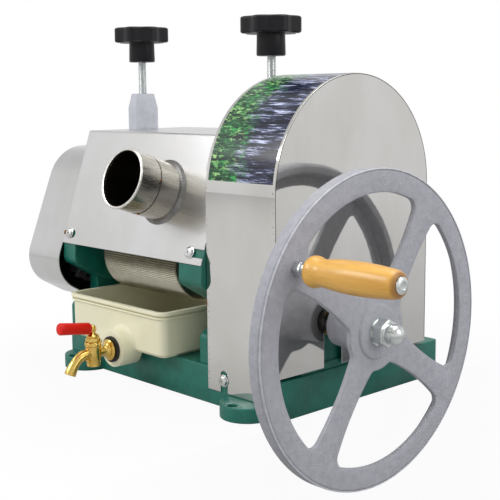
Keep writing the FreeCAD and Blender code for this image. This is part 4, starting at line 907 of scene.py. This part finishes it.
piece("tap_casting", tap_body_shapes(), BRASS, "tray", ("tap_body",), sharp=42)
piece("tap_stem", tap_stem_shapes(), BRASS, "tap", ("tap_plug",), sharp=34)
sleeve_line = [(5.2, 0), (5.2, 6.0), (5.8, 7.1), (7.4, 7.7), (26, 7.5), (44, 7.8), (48.8, 7.9), (50.4, 7.2),
               (51.0, 5.6), (51.0, 0)]
piece("lever_sleeve", [placed(lathe(sleeve_line, 48), LEVER_FRAME)],
      RED, "tap", ("tap_lever_sleeve",), sharp=40)

# Castings, tray and wheel with their edges rounded

softened("juice_tray", 1.5, CREAM, "tray", "moulded_tray")
softened("left_screw_tower", 1.2, ALLOY, "frame", "left_tower_casting")
softened("right_screw_tower", 1.2, ALLOY, "frame", "right_tower_casting")
softened("base_casting", 2.2, GREEN, "frame", "base_casting_skin")
softened("handwheel", 2.0, WHEEL_PAINT, "crank", "handwheel_casting")

# The paler edge of the wheel's face: a painted highlight along its rounded rim edge

WHEEL_FACE = 284.6
wheel_low, wheel_high = mm_box("handwheel")
wheel_round = (wheel_high.z - wheel_low.z) / 2
edge_ring = [(WHEEL_FACE + x, wheel_round - inward) for x, inward in (
    (-1.6, 2.0), (-0.15, 1.9), (0.1, 1.2), (-0.5, 0.4), (-1.7, 0.05))]
crank_axis = facing((0, crank_y, crank_z), (1, 0, 0))
piece("wheel_edge_highlight", [placed(lathe(edge_ring, 160, closed=True), crank_axis)],
      WHEEL_EDGE_HIGHLIGHT, "crank", (), sharp=60)

# A fillet round the tap's boss and a second ridge under the lip of the tray

TRAY_FRONT = -179.5
TRAY_CORNER = 12
LIP_OUT = 4
BOSS_ROUND = 23.9
FILLET_FRONT = -187.4
FILLET_DEEP = 8.2
RIDGE_OUT = 2.0
RIDGE_BELOW = 8.0
tray_low, tray_high = mm_box("juice_tray")


def boss_fillet_shape():
    """The hollow corner between the tray's front wall and the upper half of the tap's boss."""
    rows = []
    for i in range(9):
        share = i / 8
        row = []
        for angle in turns(72):
            reach = 8 * max(0.0, math.sin(angle) + 0.08) ** 0.5
            radius = BOSS_ROUND + reach * (1 - math.sqrt(max(0.0, 1 - share ** 2)))
            row.append((TAP_X + radius * math.cos(angle), FILLET_FRONT + FILLET_DEEP * share,
                        TAP_Z + radius * math.sin(angle)))
        rows.append(row)
    rows.append([(TAP_X + 22 * math.cos(angle), TRAY_FRONT + 0.5, TAP_Z + 22 * math.sin(angle))
                 for angle in turns(72)])
    return rows_shape(rows, closed=True)


def tray_ridge_shape():
    """The second, lower ridge under the tray's rolled lip."""
    corner = TRAY_CORNER + RIDGE_OUT
    inset = corner + LIP_OUT - RIDGE_OUT
    left, right, back = tray_low.x + inset, tray_high.x - inset, tray_high.y - inset
    front = TRAY_FRONT - RIDGE_OUT + corner
    rows = []
    for cx, cy, begin in ((right, back, 0), (left, back, 90), (left, front, 180), (right, front, 270)):
        for i in range(9):
            angle = math.radians(begin + 90 * i / 8)
            row = []
            for around in turns(10):
                reach = corner + 1.5 * math.cos(around)
                row.append((cx + reach * math.cos(angle), cy + reach * math.sin(angle),
                            tray_high.z - RIDGE_BELOW + 1.4 * math.sin(around)))
            rows.append(row)
    return rows_shape(rows, closed=True)


piece("tap_boss_fillet", [boss_fillet_shape()], CREAM, "tray", (), sharp=50)
piece("tray_second_ridge", [tray_ridge_shape()], CREAM, "tray", (), sharp=60)

# Rollers with their fine flutes

FINE_FLUTES = 108
FLUTE_DEEP = 1.5
ROLLER_BORE = 22.0


def fluted_roller(node, body):
    """A roller with its ends a little rounded and fine flutes along it."""
    low, high = mm_box(node)
    y, z, radius = (low.y + high.y) / 2, (low.z + high.z) / 2, (high.y - low.y) / 2

    def flute(reach, angle, height):
        if reach < radius - 3:
            return reach
        wave = abs(((angle * FINE_FLUTES / (2 * math.pi)) % 1) - 0.5) * 2
        return reach - FLUTE_DEEP * wave ** 1.6

    long = high.x - low.x
    line = [(0, ROLLER_BORE), (0, radius - 1.2), (1.2, radius - 0.05), (long - 1.2, radius - 0.05),
            (long, radius - 1.2), (long, ROLLER_BORE)]
    shape = placed(lathe(line, FINE_FLUTES * 4, closed=True, reach=flute), facing((low.x, y, z), (1, 0, 0)))
    piece(node + "_fine_flutes", [shape], ROLLER, body, (node,), sharp=24)


fluted_roller("front_roller", "front_mill")
fluted_roller("rear_roller", "rear_mill")
fluted_roller("top_roller", "top_mill")

# A small dark screw that holds the left cover to the side frame

small_head = lathe([(-1.5, 0), (-1.5, 1.6), (0, 1.6), (0, 3.0), (1.2, 2.9), (1.9, 1.9), (2.0, 0)], 20)
small_spot = panel_spot(mm_box("feed_hood")[0].x + 1.2, 15.0)
piece("left_cover_screw", [placed(small_head, facing(small_spot, (-0.55, -0.8, 0.25)))],
      TACK, "frame", ())


# Camera, light and the bench end that the mill stands on

CAMERA_AT = Vector((1.0280, -0.9601, 0.3783))
CAMERA_YAW = math.radians(46.78)
CAMERA_PITCH = math.radians(8.58)
CAMERA_ROLL = math.radians(-0.53)
LENS_MM = 73.4
LIT_SPOT = (0, 0, 0.2)
SHADOW_SHARE = 0.94
MIRRORED_SHARE = 0.12
FLOOR_REACH = 2.5
FLOOR_DROP = 0.9
FLOOR_GAP = 0.0004


def add_camera():
    data = bpy.data.cameras.new("camera")
    data.lens = LENS_MM
    data.sensor_width = 36
    camera = in_scene("camera", data)
    level = Euler((math.pi / 2 - CAMERA_PITCH, 0, CAMERA_YAW)).to_matrix().to_4x4()
    camera.matrix_world = Matrix.Translation(CAMERA_AT) @ level @ Matrix.Rotation(CAMERA_ROLL, 4, "Z")
    bpy.context.scene.camera = camera


def add_softbox(name, at, size, power):
    data = bpy.data.lights.new(name, "AREA")
    data.shape = "RECTANGLE"
    data.size, data.size_y = size
    data.energy = power
    in_scene(name, data).matrix_world = facing(at, Vector(at) - Vector(LIT_SPOT))


def mixed_in(tree, share, first, second, end):
    """Two shaders mixed by a share and linked to an output node of the kind that end names."""
    mix = tree.nodes.new("ShaderNodeMixShader")
    for i, socket in enumerate((share, first, second)):
        tree.links.new(socket, mix.inputs[i])
    tree.links.new(mix.outputs[0], tree.nodes.new(end).inputs["Surface"])


def light_world():
    """White to the camera; a softly graded studio to everything else, darker towards the ground."""
    world = bpy.data.worlds.new("studio")
    bpy.context.scene.world = world
    world.use_nodes = True
    tree = world.node_tree
    tree.nodes.clear()
    height = axis_of(tree, tree.nodes.new("ShaderNodeTexCoord").outputs["Generated"], "Z")
    ramp = tree.nodes.new("ShaderNodeValToRGB")
    tree.links.new(spread(tree, height, -1, 1), ramp.inputs["Fac"])
    stops = ((0.0, 0.25), (0.38, 0.5), (0.455, 0.74), (0.62, 0.84), (0.85, 0.6), (1.0, 0.8))
    while len(ramp.color_ramp.elements) < len(stops):
        ramp.color_ramp.elements.new(0.5)
    for element, (spot, level) in zip(ramp.color_ramp.elements, stops):
        element.position = spot
        element.color = (level, level, level * 1.01, 1)
    studio = tree.nodes.new("ShaderNodeBackground")
    tree.links.new(ramp.outputs[0], studio.inputs["Color"])
    plain = tree.nodes.new("ShaderNodeBackground")
    plain.inputs["Color"].default_value = (1, 1, 1, 1)
    path = tree.nodes.new("ShaderNodeLightPath")
    mixed_in(tree, path.outputs["Is Camera Ray"], studio.outputs[0], plain.outputs[0],
             "ShaderNodeOutputWorld")


def floor_finish():
    """Pale and matt; to the camera it is mostly plain white, with the soft shadows kept."""
    material = bpy.data.materials.new("pale_floor")
    material.use_nodes = True
    tree = material.node_tree
    tree.nodes.clear()
    matt = tree.nodes.new("ShaderNodeBsdfDiffuse")
    matt.inputs["Color"].default_value = (0.5, 0.5, 0.5, 1)
    white = tree.nodes.new("ShaderNodeEmission")
    white.inputs["Color"].default_value = (1, 1, 1, 1)
    path = tree.nodes.new("ShaderNodeLightPath")
    place = tree.nodes.new("ShaderNodeVectorMath")
    place.operation = "LENGTH"
    tree.links.new(stretched_point(tree, (1, 1, 0.5)), place.inputs[0])
    share = spread(tree, place.outputs["Value"], 0.3, 0.55, SHADOW_SHARE, 1.0)
    seen = math_node(tree, "MULTIPLY", path.outputs["Is Camera Ray"], share)
    mirrored = math_node(tree, "MULTIPLY", path.outputs["Is Glossy Ray"], MIRRORED_SHARE)
    mixed_in(tree, math_node(tree, "MAXIMUM", seen, mirrored), matt.outputs[0], white.outputs[0],
             "ShaderNodeOutputMaterial")
    return material


def add_floor():
    """A bench top under the base, whose right end stops short of the wheel."""
    edge = (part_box("handwheel")[0].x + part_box("right_gear_cover")[1].x) / 2
    left, front, back, low = -FLOOR_REACH, -FLOOR_REACH, FLOOR_REACH, -FLOOR_DROP
    corners = [(left, front, 0), (edge, front, 0), (edge, back, 0), (left, back, 0),
               (edge, front, low), (edge, back, low), (3.0, front, low), (3.0, back, low)]
    mesh = bpy.data.meshes.new("floor")
    mesh.from_pydata(corners, [], [(0, 1, 2, 3), (1, 4, 5, 2), (4, 6, 7, 5)])
    mesh.materials.append(floor_finish())
    floor = in_scene("floor", mesh)
    floor.location.z = -FLOOR_GAP


bpy.context.scene.view_settings.view_transform = "Standard"
add_camera()
light_world()
add_softbox("key_light", (-1.1, -1.9, 1.7), (1.4, 1.0), 26)
add_softbox("top_light", (0.2, 0.3, 2.0), (1.6, 1.2), 18)
add_softbox("side_light", (2.1, 0.5, 1.2), (1.0, 1.4), 12)
add_floor()
